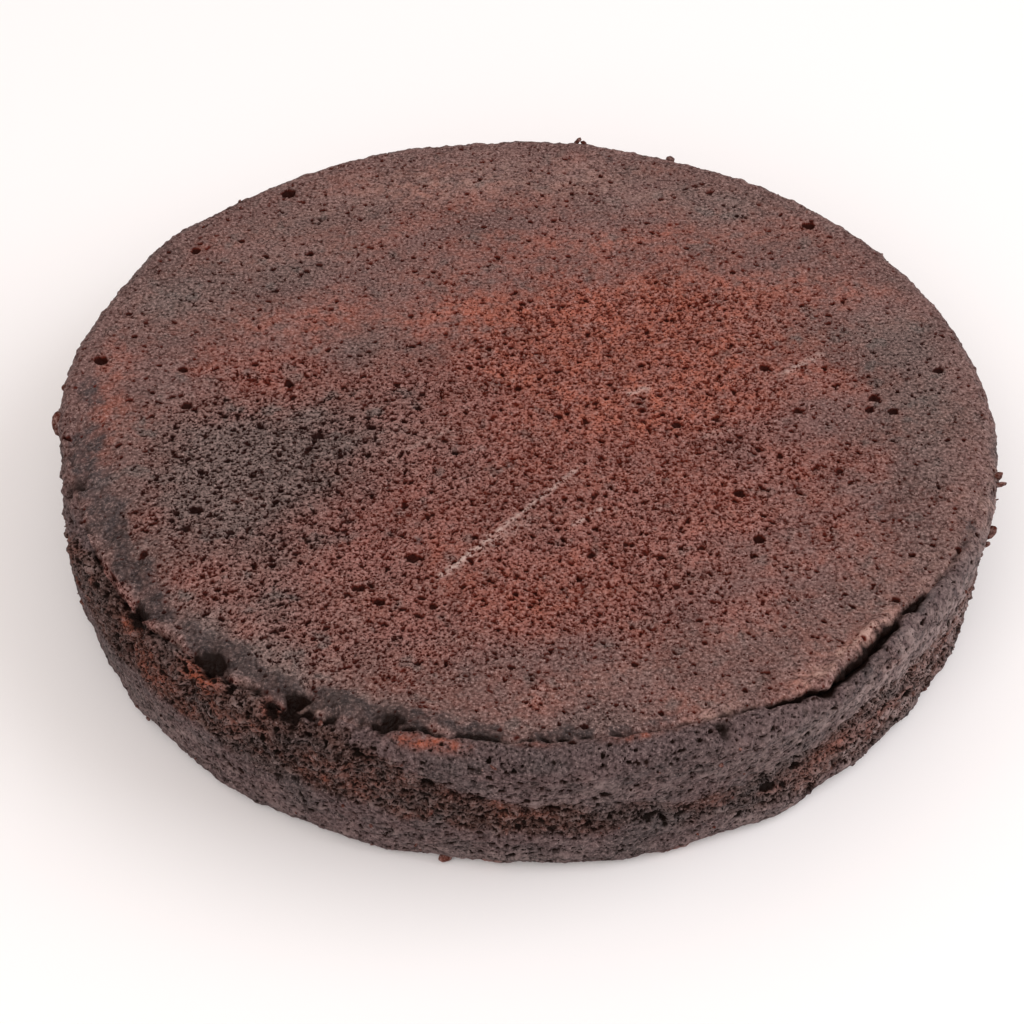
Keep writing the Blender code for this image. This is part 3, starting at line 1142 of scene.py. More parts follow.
@dataclass(frozen=True)
class CrumbSurface:
    """The cake's skin: its large form, its unevenness, its pores, its grain and its masks."""

    form: Form = Form()
    band: TornBand = TornBand()
    relief: Relief = Relief()
    colouring: Colouring = Colouring()
    pores: Pores = Pores()
    grain: Grain = Grain()
    wide_wander: Unevenness = Unevenness(1.0, 3.5, 51)
    close_wander: Unevenness = Unevenness(0.5, 1.3, 54)
    flakes: Unevenness = Unevenness(1.0, 2.4, 7, 3)
    smears: Smears = Smears()
    flake_stretch: float = 1.9
    front_turns: tuple[float, float, float, float] = (190.0, 210.0, 325.0, 345.0)
    # A pore's depth in mm that is wholly dark: the pit's dark crumb and painted shade
    dark_depth: float = 0.75

    def ground(self, angle: Array, station: Array) -> Ground:
        """The places on the plain section and the zones that they lie in.

        Args:
            angle: directions in radians, shape (n,).
            station: places along the section in mm, shape (n,).

        Returns:
            The ground.
        """
        form = self.form
        out, up, normal_out, normal_up = form.section(station)
        cosine, sine = np.cos(angle), np.sin(angle)
        plain = np.array([out * cosine, out * sine, up])
        layered = plain * np.array([[1.0], [1.0], [self.flake_stretch]])
        above_base = form.above_base(station)
        degrees = np.degrees(angle) % 360
        return Ground(
            angle=angle,
            station=station,
            plain=plain,
            layered=layered,
            outward=np.array([normal_out * cosine, normal_out * sine, normal_up]),
            above_base=above_base,
            top=smooth_step(form.wall_start, form.top_run - form.zone_ease, station),
            wall=smooth_step(form.top_run, form.wall_start, station) * above_base,
            foot=smooth_step(form.foot_start - form.zone_ease, form.foot_start, station) * above_base,
            front=plateau(self.front_turns, degrees),
            band=self.band.share(angle, station, plain) * above_base,
            wander=self.wide_wander.at(plain) + self.close_wander.at(plain),
            flakes=self.flakes.at(layered),
            smears=self.smears.at(plain),
        )

    def sample(self, angle: Array, station: Array) -> Sample:
        """The finished surface at places given by direction and run along the section.

        The point of the plain section moves along its normal by the swells, swellings and tears,
        and straight down by the sag. It then sinks by the deepest bubble that holds it, and
        moves by the crumb's fine grain. Last, the lip leans out over the crack.

        Args:
            angle: directions in radians, shape (n,).
            station: places along the section in mm, shape (n,).

        Returns:
            The points, their plain normals and the finishes' masks.
        """
        ground = self.ground(angle, station)
        torn = self.relief.tears(ground, self.form)
        base = self.relief.moved(ground, self.form, torn)
        masks = self.colouring.masks(ground, self.form, torn)
        opened = masks[Mask.OPENED]
        pores = self.pores.depth(ground, base, opened, masks[Mask.WET])
        coarse = self.grain.coarse.at(base)
        grain = self.grain.height(ground, base, coarse, self.form, masks)
        points = base + ground.outward * ((grain - pores) * ground.above_base)
        lean = self.form.lean(angle, station, ground.wander)
        points[0] += lean * np.cos(angle)
        points[1] += lean * np.sin(angle)
        points[2] = np.maximum(points[2], 0)
        # Pores darken by depth: dark crumb and painted shade
        masks[Mask.PIT] = pores / self.dark_depth
        masks[Mask.OPENED] = opened + ground.band
        masks[Mask.RELIEF] = self.grain.relief(ground, coarse, opened)
        masks = {mask: np.clip(values, 0, 1) for mask, values in masks.items()}
        return Sample(points, ground.outward, masks)


def new_mesh(
    name: str,
    points: Array,
    quads: Array,
    triangles: Array,
    corners: Array,
    smooth_faces: int,
    masks: Masks,
) -> bpy.types.Object:
    """Makes an object of quads followed by triangles.

    Args:
        name: the piece's name.
        points: places in mm, shape (3, n).
        quads: vertex numbers, shape (q, 4).
        triangles: vertex numbers, shape (t, 3).
        corners: the map's coordinates at each face corner, shape (4q + 3t, 2).
        smooth_faces: how many of the first faces are shaded smooth; the rest are flat.
        masks: values at each vertex.

    Returns:
        The linked object, at the origin.
    """
    mesh = bpy.data.meshes.new(name)
    faces = len(quads) + len(triangles)
    loops = np.concatenate([quads.ravel(), triangles.ravel()]).astype(np.int32)
    sides = np.repeat([4, 3], [len(quads), len(triangles)])
    starts = np.cumsum(sides) - sides
    mesh.vertices.add(points.shape[1])
    mesh.loops.add(len(loops))
    mesh.polygons.add(faces)
    mesh.vertices.foreach_set("co", (points.T * MM).astype(np.float32).ravel())
    mesh.loops.foreach_set("vertex_index", loops)
    mesh.polygons.foreach_set("loop_start", starts.astype(np.int32))
    layout = mesh.uv_layers.new(name="OFBake")
    layout.uv.foreach_set("vector", corners.astype(np.float32).ravel())
    for mask, values in masks.items():
        layer = mesh.attributes.new(mask.value, "FLOAT", "POINT")
        layer.data.foreach_set("value", values.astype(np.float32))
    mesh.update(calc_edges=True)
    mesh.validate()
    sharpen_rim(mesh, 4 * smooth_faces if smooth_faces < faces else len(loops))
    piece = bpy.data.objects.new(name, mesh)
    bpy.context.scene.collection.objects.link(piece)
    return piece


def sharpen_rim(mesh: bpy.types.Mesh, shown_corners: int) -> None:
    """Breaks the shading along the edges that shown faces share with hidden ones.

    Args:
        mesh: the mesh.
        shown_corners: how many of the first face corners belong to faces that show.
    """
    edges = np.empty(len(mesh.loops), np.int32)
    mesh.loops.foreach_get("edge_index", edges)
    shown = np.zeros(len(mesh.edges), bool)
    hidden = np.zeros(len(mesh.edges), bool)
    shown[edges[:shown_corners]] = True
    hidden[edges[shown_corners:]] = True
    sharp = mesh.attributes.new("sharp_edge", "BOOLEAN", "EDGE")
    sharp.data.foreach_set("value", shown & hidden)


def grid_quads(columns: int, rows: int) -> Array:
    """Faces of a grid whose vertex (i, j) has the number i * (rows + 1) + j, i first."""
    i, j = np.meshgrid(np.arange(columns), np.arange(rows), indexing="ij")
    corner = (i * (rows + 1) + j).ravel()
    return np.stack([corner, corner + rows + 1, corner + rows + 2, corner + 1], axis=1)


def grid_edge(cells: int) -> Array:
    """The vertex numbers round a square grid, in order, each of them once."""
    count = cells + 1
    side = np.arange(cells)
    last = cells * count
    return np.concatenate([side * count, last + side, last + cells - side * count, cells - side])


def hem(edge: Array, first: int, hub: int) -> tuple[Array, Array]:
    """Closes a grid by way of a ring of vertices, one for each of its edge's.

    Args:
        edge: the edge's vertex numbers, against the clock as seen from the side that shows.
        first: the ring's first vertex number.
        hub: the number of the vertex in the middle of the ring.

    Returns:
        Quads from the edge to the ring, and triangles from the ring to the hub.
    """
    ring = first + np.arange(len(edge))
    ahead, ring_ahead = np.roll(edge, -1), np.roll(ring, -1)
    walls = np.stack([ahead, edge, ring, ring_ahead], axis=1)
    return walls, np.stack([ring_ahead, ring, np.full(len(edge), hub)], axis=1)


def padded(masks: Masks, extra: int) -> Masks:
    """Gives the hidden vertices, which come last, masks of 0."""
    return {mask: np.append(values, np.zeros(extra)) for mask, values in masks.items()}


def settle(piece: bpy.types.Object, material: bpy.types.Material) -> None:
    """Dresses a shell, makes it ride on the cake's body and lets it stand for the solid."""
    piece.data.materials.append(material)
    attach(piece, BODY)
    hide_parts(CAKE_NODE)


# A map's hidden faces share a narrow edge of it, so that the crumb that shows has the rest
MAP_SHOWN = 0.955
HIDDEN_LOW, HIDDEN_HIGH = 0.965, 0.985


def hidden_corners(faces: int, sides: int) -> Array:
    """Map coordinates for hidden faces: a row of small cells up the map's right edge.

    Args:
        faces: how many faces.
        sides: corners of each face, 3 or 4.

    Returns:
        Coordinates, shape (faces * sides, 2).
    """
    step = 1.0 / max(faces, 1)
    low = np.arange(faces) * step
    square = [(0, 0), (1, 0), (1, 1), (0, 1)][:sides]
    width = HIDDEN_HIGH - HIDDEN_LOW
    cells = [np.stack([HIDDEN_LOW + width * a + 0 * low, low + step * b * 0.9], 1) for a, b in square]
    return np.stack(cells, axis=1).reshape(-1, 2)


@dataclass(frozen=True)
class TopCrust:
    """The flat top as four quarter shells, each a square grid bent into a quarter disc.

    A grid place (u, v), each from 0 to 1, lies at max(u, v) of the way to the rim, at the
    direction that the lesser is of the greater: an eighth turn times v / u where u leads, and
    the rest of the quarter, mirrored, where v does.
    """

    surface: CrumbSurface
    cells: int = 306
    first_turn: float = 39.0
    inner_share: float = 0.93
    inner_height: float = 24.0

    def build(self, material: bpy.types.Material) -> list[bpy.types.Object]:
        """Makes the four shells."""
        return [self.quarter(number, material) for number in range(4)]

    def quarter(self, number: int, material: bpy.types.Material) -> bpy.types.Object:
        """Makes one shell: the crumb that shows, a hidden skirt and a hidden floor."""
        count = self.cells + 1
        u, v = np.meshgrid(np.linspace(0, 1, count), np.linspace(0, 1, count), indexing="ij")
        u, v = u.ravel(), v.ravel()
        reach = np.maximum(u, v)
        lesser = np.minimum(u, v) / np.maximum(reach, 1e-9)
        eighth = math.pi / 4
        within = np.where(u >= v, eighth * lesser, 2 * eighth - eighth * lesser)
        angle = (within + math.radians(self.first_turn + 90 * number)) % TURN
        rim = self.surface.form.rim(angle)
        sample = self.surface.sample(angle, reach * rim)

        edge = grid_edge(self.cells)
        skirt = sample.points[:, edge] * self.inner_share
        skirt[2] = self.inner_height
        centre = skirt.mean(axis=1, keepdims=True)
        points = np.concatenate([sample.points, skirt, centre], axis=1)
        walls, floor = hem(edge, count * count, points.shape[1] - 1)

        shown = grid_quads(self.cells, self.cells)
        quads = np.concatenate([shown, walls])
        place = np.stack([u, v], axis=1) * MAP_SHOWN + 0.002
        corners = np.concatenate(
            [place[shown.ravel()], hidden_corners(len(walls), 4), hidden_corners(len(floor), 3)]
        )
        masks = padded(sample.masks, points.shape[1] - sample.points.shape[1])
        name = f"top_crust_{number + 1}"
        piece = new_mesh(name, points, quads, floor, corners, len(shown), masks)
        settle(piece, material)
        LOG.info("%s: %d faces of open crumb", name, len(shown))
        return piece


@dataclass(frozen=True)
class WallCrust:
    """The shoulder, wall and foot as four quarter shells.

    A grid place is a direction and a share of the run from the crease down to just under the
    foot. Hidden walls close each shell along the same lines as the top's skirt.
    """

    surface: CrumbSurface
    columns: int = 612
    rows: int = 150
    first_turn: float = 39.0
    inner_share: float = 0.93
    inner_height: float = 24.0
    low_share: float = 0.90
    low_height: float = 3.0
    tuck: float = 1.5

    def build(self, material: bpy.types.Material) -> list[bpy.types.Object]:
        """Makes the four shells."""
        return [self.quarter(number, material) for number in range(4)]

    def quarter(self, number: int, material: bpy.types.Material) -> bpy.types.Object:
        """Makes one shell of the wall."""
        columns, rows = self.columns, self.rows
        across, down = np.meshgrid(
            np.linspace(0, 1, columns + 1), np.linspace(0, 1, rows + 1), indexing="ij"
        )
        across, down = across.ravel(), down.ravel()
        angle = (across * math.pi / 2 + math.radians(self.first_turn + 90 * number)) % TURN
        rim = self.surface.form.rim(angle)
        end = self.surface.form.section_end + self.tuck
        sample = self.surface.sample(angle, rim + (end - rim) * down)

        first_row = np.arange(columns + 1) * (rows + 1)
        skirt = sample.points[:, first_row] * self.inner_share
        skirt[2] = self.inner_height
        low = sample.points[:, first_row] * self.low_share
        low[2] = self.low_height
        points = np.concatenate([sample.points, skirt, low], axis=1)
        shown_count = sample.points.shape[1]
        inner = shown_count + np.arange(columns + 1)
        lowest = inner + columns + 1
        last_row = first_row + rows
        strips = [(first_row, inner), (inner, lowest), (lowest, last_row)]
        hidden = np.concatenate(
            [np.stack([a[:-1], a[1:], b[1:], b[:-1]], axis=1) for a, b in strips]
        )
        column = np.arange(rows + 1)
        first, last = column, columns * (rows + 1) + column
        caps = [
            np.stack([np.full(rows, lowest[0]), first[1:], first[:-1]], axis=1),
            np.stack([np.full(rows, lowest[-1]), last[:-1], last[1:]], axis=1),
            np.array([[lowest[0], first[0], inner[0]], [lowest[-1], inner[-1], last[0]]]),
        ]
        triangles = np.concatenate(caps)

        # Down first, then along, so that the faces look outwards
        shown = grid_quads(columns, rows)[:, ::-1]
        quads = np.concatenate([shown, hidden])
        corners = np.concatenate(
            [
                self.shown_corners(shown, across, down),
                hidden_corners(len(hidden), 4),
                hidden_corners(len(triangles), 3),
            ]
        )
        masks = padded(sample.masks, points.shape[1] - shown_count)
        name = f"wall_crust_{number + 1}"
        piece = new_mesh(name, points, quads, triangles, corners, len(shown), masks)
        settle(piece, material)
        LOG.info("%s: %d faces of crust", name, len(shown))
        return piece

    def shown_corners(self, shown: Array, across: Array, down: Array) -> Array:
        """Lays the wall's two halves one above the other, so that they fill a square map."""
        u = across[shown]
        v = down[shown]
        upper = (u.mean(axis=1) > 0.5)[:, None]
        u = np.where(upper, u - 0.5, u) * 2 * MAP_SHOWN + 0.002
        v = (1 - v) * 0.475 + np.where(upper, 0.49, 0.005)
        return np.stack([u.ravel(), v.ravel()], axis=1)


@dataclass(frozen=True)
class Underside:
    """The face that the cake stands on: a slab with shallow pores and cracks in its lower side.

    A square grid is bent into a disc, as for the top, and lies just above the floor.
    """

    surface: CrumbSurface
    cells: int = 200
    radius: float = 92.8
    clearance: float = 0.12
    roof: float = 3.0
    roof_share: float = 0.98
    # Cracks lie where a swell passes through 0
    cracks: Unevenness = Unevenness(1.0, 16, 95, 3)
    crack_width: float = 0.14
    crack_depth: float = 0.9
    crack_from: float = 0.4
    dimples: Unevenness = Unevenness(0.15, 2.5, 96, 3)
    medium_share: float = 0.35
    large_share: float = 0.12
    # Where on the way to the edge the relief begins to fade, and a pore's depth that is dark with
    # painted shade
    fade_from: float = 0.985
    dark_depth: float = 0.8
    opening: Unevenness = Unevenness(0.4, 20, 97)
    embers: Unevenness = Unevenness(0.5, 12, 98, 3)
    grain: Unevenness = Unevenness(0.4, 1.6, 99, 2)

    def build(self, material: bpy.types.Material) -> bpy.types.Object:
        """Makes the slab, its shown side down."""
        count = self.cells + 1
        u, v = np.meshgrid(np.linspace(-1, 1, count), np.linspace(-1, 1, count), indexing="ij")
        u, v = u.ravel(), v.ravel()
        reach = np.maximum(np.abs(u), np.abs(v))
        eighth = math.pi / 4
        steep = np.abs(v) > np.abs(u)
        ratio = np.where(steep, u / np.where(steep, v, 1), v / np.where(np.abs(u) > 0, u, 1))
        angle = np.where(steep, 2 * eighth - eighth * ratio, eighth * ratio)
        angle = angle + np.where(np.where(steep, v, u) < 0, math.pi, 0)
        flat = np.array([np.cos(angle), np.sin(angle), 0 * u]) * reach * self.radius
        upward = np.zeros_like(flat)
        upward[2] = 1
        cracks = np.clip(1 - np.abs(self.cracks.at(flat)) / self.crack_width, 0, 1)
        height = self.clearance + self.crack_depth * cracks
        height = height + np.abs(self.dimples.at(flat))
        bubbles = self.surface.pores
        pores = bubbles.medium.cut(flat, upward, self.medium_share + 0 * u)
        pores = np.maximum(pores, bubbles.large.cut(flat, upward, self.large_share + 0 * u))
        fade = smooth_step(1.0, self.fade_from, reach)
        flat[2] = self.clearance + (height - self.clearance + pores) * fade

        # The edge runs the other way round, because this side is seen from below
        edge = grid_edge(self.cells)[::-1]
        roof = flat[:, edge] * self.roof_share
        roof[2] = self.roof
        points = np.concatenate([flat, roof, [[0], [0], [self.roof]]], axis=1)
        walls, ceiling = hem(edge, count * count, points.shape[1] - 1)
        shown = grid_quads(self.cells, self.cells)[:, ::-1]
        quads = np.concatenate([shown, walls])
        place = np.stack([u * 0.5 + 0.5, v * 0.5 + 0.5], axis=1) * MAP_SHOWN + 0.002
        corners = np.concatenate(
            [place[shown.ravel()], hidden_corners(len(walls), 4), hidden_corners(len(ceiling), 3)]
        )
        masks = {
            # Pores and cracks darken by depth, with painted shade
            Mask.PIT: np.clip(pores / self.dark_depth, 0, 1) * fade,
            Mask.TORN: np.clip(height - self.crack_from, 0, 1) * fade,
            Mask.OPENED: 0.4 + self.opening.at(flat),
            Mask.EMBER: np.clip(0.3 + self.embers.at(flat), 0, 1),
            Mask.RELIEF: np.clip(0.5 + self.grain.at(flat), 0, 1),
        }
        masks = padded(masks, points.shape[1] - len(u))
        piece = new_mesh("underside_crust", points, quads, ceiling, corners, len(shown), masks)
        settle(piece, material)
        LOG.info("underside_crust: %d faces", len(shown))
        return piece


@dataclass(frozen=True)
class ClingingCrumbs:
    """Lumps and shards of crumb that cling to the rim, wall and foot.

    Each is a ball of a few dozen faces, given by a turn and a fall from pole to pole, that is
    stretched along three random directions and roughened by a swell of its own.
    """

    surface: CrumbSurface
    count: int = 170
    smallest: float = 0.2
    largest: float = 0.65
    seed: int = 8
    around: int = 8
    falls: int = 6
    # How far each sinks in, leans, and is roughened, and how red the reddest is
    stretch: tuple[float, float] = (0.6, 1.3)
    lean: float = 0.7
    raised: float = 0.35
    bumps: tuple[Unevenness, ...] = tuple(Unevenness(0.22, 0.9, salt) for salt in (111, 112, 113))
    least_height: float = 0.02
    reddest: float = 0.6
    # Shards that stand out from the outline: degrees, place along the section, then three half
    # lengths: along the wall, up, and out
    shards: tuple[tuple[float, ...], ...] = (
        (351.0, 100.5, 0.7, 2.5, 1.0),
        (350.2, 101.5, 0.6, 1.3, 1.5),
        (349.0, 104.0, 0.4, 0.5, 0.9),
        (344.5, 106.0, 0.9, 1.7, 1.4),
        (343.5, 108.0, 0.5, 0.6, 1.0),
        (84.0, 98.5, 0.5, 1.6, 0.5),
        (83.0, 98.0, 0.9, 0.6, 0.6),
        (70.5, 98.5, 1.0, 0.7, 0.7),
        (182.5, 102.5, 1.2, 2.3, 1.4),
        (177.0, 100.5, 0.3, 0.8, 0.7),
        (262.0, 131.0, 1.3, 0.9, 1.0),
    )

    def ball(self) -> tuple[Array, Array, Array]:
        """A unit ball: its points, its quads and its triangles round the poles."""
        fall = np.pi * np.arange(1, self.falls) / self.falls
        turn = TURN * np.arange(self.around) / self.around
        fall, turn = (grid.ravel() for grid in np.meshgrid(fall, turn, indexing="ij"))
        ring = np.array([np.sin(fall) * np.cos(turn), np.sin(fall) * np.sin(turn), np.cos(fall)])
        points = np.concatenate([ring, [[0, 0], [0, 0], [1, -1]]], axis=1)
        beside = (np.arange(self.around) + 1) % self.around
        here = np.arange(self.around)
        rows = np.arange(self.falls - 2)[:, None] * self.around
        quads = np.stack(
            [
                (rows + here).ravel(),
                (rows + here + self.around).ravel(),
                (rows + beside + self.around).ravel(),
                (rows + beside).ravel(),
            ],
            axis=1,
        )
        top, bottom = ring.shape[1], ring.shape[1] + 1
        final = (self.falls - 2) * self.around
        triangles = np.concatenate(
            [
                np.stack([np.full(self.around, top), here, beside], axis=1),
                np.stack([np.full(self.around, bottom), final + beside, final + here], axis=1),
            ]
        )
        return points, quads, triangles

    def build(self, material: bpy.types.Material) -> bpy.types.Object:
        """Makes all the crumbs as one piece."""
        rng = np.random.default_rng(self.seed)
        form = self.surface.form
        angle = rng.uniform(0, TURN, self.count)
        station = rng.uniform(form.top_run - 2, form.section_end - 1, self.count)
        size = self.smallest + (self.largest - self.smallest) * rng.random(self.count) ** 3
        halves = size * rng.uniform(*self.stretch, (3, self.count))
        marked = np.array(self.shards).T
        angle = np.append(angle, np.radians(marked[0]))
        station = np.append(station, marked[1])
        halves = np.concatenate([halves, marked[2:5]], axis=1)
        total = len(angle)
        lean = rng.uniform(-self.lean, self.lean, (3, total))
        spot = self.surface.sample(angle, station)
        along = np.array([-np.sin(angle), np.cos(angle), 0 * angle])
        upward = np.array([0 * angle, 0 * angle, 1 + 0 * angle])
        outward = np.array([np.cos(angle), np.sin(angle), 0 * angle])
        frames = np.stack(
            [along + outward * lean[0], upward + along * lean[1], outward + upward * lean[2]]
        )
        ball, quads, triangles = self.ball()
        # Each vertex of each crumb: the centre, plus the ball's three parts along the frame
        reach = ball[:, None, :] * halves[:, :, None]
        centre = spot.points + spot.outward * (self.raised * halves.min(axis=0))
        points = centre[:, :, None] + np.einsum("knp,kdn->dnp", reach, frames)
        points = points.reshape(3, -1)
        points += np.array([bump.at(points) for bump in self.bumps])
        points[2] = np.maximum(points[2], self.least_height)
        shift = np.arange(total)[:, None, None] * ball.shape[1]
        quads = (quads[None] + shift).reshape(-1, 4)
        triangles = (triangles[None] + shift).reshape(-1, 3)
        corners = self.corners(len(quads), len(triangles))
        tint = np.repeat(rng.random(total), ball.shape[1])
        middling = np.full(len(tint), 0.5)
        masks = {Mask.EMBER: tint * self.reddest, Mask.OPENED: middling, Mask.RELIEF: middling}
        faces = len(quads) + len(triangles)
        piece = new_mesh("clinging_crumbs", points, quads, triangles, corners, faces, masks)
        settle(piece, material)
        LOG.info("clinging_crumbs: %d crumbs", total)
        return piece

    def corners(self, quads: int, triangles: int) -> Array:
        """A map on which every face has a small cell of its own."""
        faces = quads + triangles
        side = math.ceil(math.sqrt(faces))
        number = np.arange(faces)
        low = np.stack([number % side, number // side], axis=1) / side
        square = np.array([(0.1, 0.1), (0.9, 0.1), (0.9, 0.9), (0.1, 0.9)]) / side
        four = (low[:quads, None] + square[None]).reshape(-1, 2)
        three = (low[quads:, None] + square[None, :3]).reshape(-1, 2)
        return np.concatenate([four, three])


@dataclass(frozen=True)
class Ramp:
    """What a value from low to high becomes, held at both ends."""

    low: float
    high: float
    to_low: float = 0.0
    to_high: float = 1.0


class Wiring:
    """Places shader nodes in a tree and joins their sockets."""

    def __init__(self, tree: bpy.types.NodeTree) -> None:
        """Keeps the tree that the nodes go into."""
        self.tree = tree
        self.placed = 0

    def node(
        self, kind: str, inputs: dict[int | str, Value] | None = None, **settings: object
    ) -> bpy.types.Node:
        """Places a node.

        Args:
            kind: the node's type.
            inputs: what each input takes: a socket to join, or a plain value.
            settings: the node's own settings.

        Returns:
            The node.
        """
        made = self.tree.nodes.new(kind)
        made.location = (190 * (self.placed % 14), -230 * (self.placed // 14))
        self.placed += 1
        for name, value in settings.items():
            setattr(made, name, value)
        for name, value in (inputs or {}).items():
            self.feed(made.inputs[name], value)
        return made

    def feed(self, socket: Socket, value: Value) -> None:
        """Joins a socket to an output, or gives it a plain value."""
        if isinstance(value, bpy.types.NodeSocket):
            self.tree.links.new(value, socket)
        else:
            socket.default_value = value

    def maths(self, operation: str, first: Value, second: Value = 0.0, clamp: bool = False) -> Socket:
        """One step of arithmetic on numbers or sockets."""
        inputs = {0: first, 1: second}
        made = self.node("ShaderNodeMath", inputs, operation=operation, use_clamp=clamp)
        return made.outputs[0]

    def remap(self, value: Value, ramp: Ramp) -> Socket:
        """Moves a value along a ramp."""
        inputs = {0: value, 1: ramp.low, 2: ramp.high, 3: ramp.to_low, 4: ramp.to_high}
        return self.node("ShaderNodeMapRange", inputs).outputs[0]

    def blend(self, share: Value, first: Value, second: Value, kind: str = "MIX") -> Socket:
        """Mixes two colours by a share."""
        settings = {"data_type": "RGBA", "blend_type": kind}
        made = self.node("ShaderNodeMix", {0: share, 6: first, 7: second}, **settings)
        return made.outputs[2]

    def mask(self, mask: Mask) -> Socket:
        """A value that the mesh holds at each vertex."""
        return self.node("ShaderNodeAttribute", attribute_name=mask.value).outputs["Fac"]


def new_group(
    name: str, inputs: dict[str, tuple[str, float | None]], outputs: dict[str, str]
) -> tuple[bpy.types.NodeTree, Wiring, bpy.types.Node, bpy.types.Node]:
    """Begins a shader node group.

    Args:
        name: the group's name.
        inputs: for each input, its socket type and value at rest.
        outputs: for each output, its socket type.

    Returns:
        The group, its wiring, its input node and its output node.
    """
    group = bpy.data.node_groups.new(name, "ShaderNodeTree")
    for socket, (kind, value) in inputs.items():
        made = group.interface.new_socket(socket, in_out="INPUT", socket_type=kind)
        if value is not None:
            made.default_value = value
    for socket, kind in outputs.items():
        group.interface.new_socket(socket, in_out="OUTPUT", socket_type=kind)
    wiring = Wiring(group)
    return group, wiring, wiring.node("NodeGroupInput"), wiring.node("NodeGroupOutput")


FLOAT, VECTOR = "NodeSocketFloat", "NodeSocketVector"
# How far a pore's outline strays from round, in metres
PORE_STRAY = (0.0004, 0.0004, 0.0004)
# A pore's least radius and its spread, in cells, and the share of it that lies deepest
PORE_LEAST, PORE_SPREAD, PORE_FLOOR = 0.20, 0.24, 0.55
# The clouds by name, with the scale and detail of each, and what is kept of their range
CLOUDS = {"Broad": (70.0, 3.0), "Close": (420.0, 3.0), "Fleck": (1500.0, 2.0), "Grit": (3200.0, 1.0)}
CLOUD_RANGE = Ramp(0.32, 0.68)


def fine_pores_group() -> bpy.types.NodeTree:
    """Pores too small for the mesh: cells of a size, some of which hold a round pit.

    Output Pore is 1 in a pit and 0 on the crumb between.
    """
    group, wiring, given, result = new_group(
        "fine_pores",
        {"Place": (VECTOR, None), "Size": (FLOAT, 0.5), "Share": (FLOAT, 0.5)},
        {"Pore": FLOAT},
    )
    scale = wiring.maths("DIVIDE", 1 / MM, given.outputs["Size"])
    bent = wiring.node(
        "ShaderNodeTexNoise", {"Vector": given.outputs["Place"], "Scale": 1400.0, "Detail": 1.0}
    )
    shifted = wiring.node(
        "ShaderNodeVectorMath",
        {0: bent.outputs["Color"], 1: PORE_STRAY, 2: given.outputs["Place"]},
        operation="MULTIPLY_ADD",
    )
    cells = wiring.node("ShaderNodeTexVoronoi", {"Vector": shifted.outputs[0], "Scale": scale})
    apart = wiring.node("ShaderNodeSeparateColor", {"Color": cells.outputs["Color"]})
    held = wiring.maths("LESS_THAN", apart.outputs[0], given.outputs["Share"])
    width = wiring.maths("MULTIPLY_ADD", apart.outputs[1], PORE_SPREAD)
    wiring.feed(width.node.inputs[2], PORE_LEAST)
    inner = wiring.maths("MULTIPLY", width, PORE_FLOOR)
    round_pit = wiring.node(
        "ShaderNodeMapRange", {0: cells.outputs["Distance"], 1: inner, 2: width, 3: 1.0, 4: 0.0}
    )
    wiring.feed(result.inputs["Pore"], wiring.maths("MULTIPLY", round_pit.outputs[0], held))
    return group


def mottle_group() -> bpy.types.NodeTree:
    """Uneven tone of baked cocoa: a broad cloud, a middling one, a fleck and a fine grit."""
    group, wiring, given, result = new_group(
        "cocoa_mottle", {"Place": (VECTOR, None)}, dict.fromkeys(CLOUDS, FLOAT)
    )
    for name, (scale, detail) in CLOUDS.items():
        cloud = wiring.node(
            "ShaderNodeTexNoise",
            {"Vector": given.outputs["Place"], "Scale": scale, "Detail": detail, "Roughness": 0.55},
        )
        wiring.feed(result.inputs[name], wiring.remap(cloud.outputs["Fac"], CLOUD_RANGE))
    return group


@dataclass(frozen=True)
class CrumbGroups:
    """The node groups that every finish of the cake shares."""

    pores: bpy.types.NodeTree
    mottle: bpy.types.NodeTree


@dataclass(frozen=True)
class Clouds:
    """The uneven tones at the shaded point, each from 0 to 1, from broad to fine."""

    broad: Socket
    close: Socket
    fleck: Socket
    grit: Socket


@dataclass(frozen=True)
class Palette:
    """Linear colours of dark cocoa crumb and of the skin on it, with painted highlights and painted
    shade.
    """

    crumb: Colour = (0.212, 0.087, 0.074)
    ember: Colour = (0.295, 0.086, 0.056)
    skin: Colour = (0.140, 0.075, 0.068)
    smear: Colour = (0.108, 0.086, 0.080)
    wet: Colour = (0.045, 0.036, 0.038)
    # Painted highlight on grains and raised edges
    lit: Colour = (0.50, 0.34, 0.31)
    # Painted shade in crevices and the grain's hollows
    shaded: Colour = (0.022, 0.009, 0.006)
    # Pale crumb, and painted highlights and sheen
    pale: Colour = (0.42, 0.26, 0.22)
    # Painted shade in tears, cracks and the crease
    cleft: Colour = (0.008, 0.003, 0.002)
    # The pits' dark red crumb, darkened further as painted shade
    red_pit: Colour = (0.105, 0.012, 0.005)
    # Painted shade at the bottom of deep pits and in pits of grey crumb
    pit_shade: Colour = (0.012, 0.003, 0.002)
    scratch: Colour = (0.52, 0.38, 0.34)


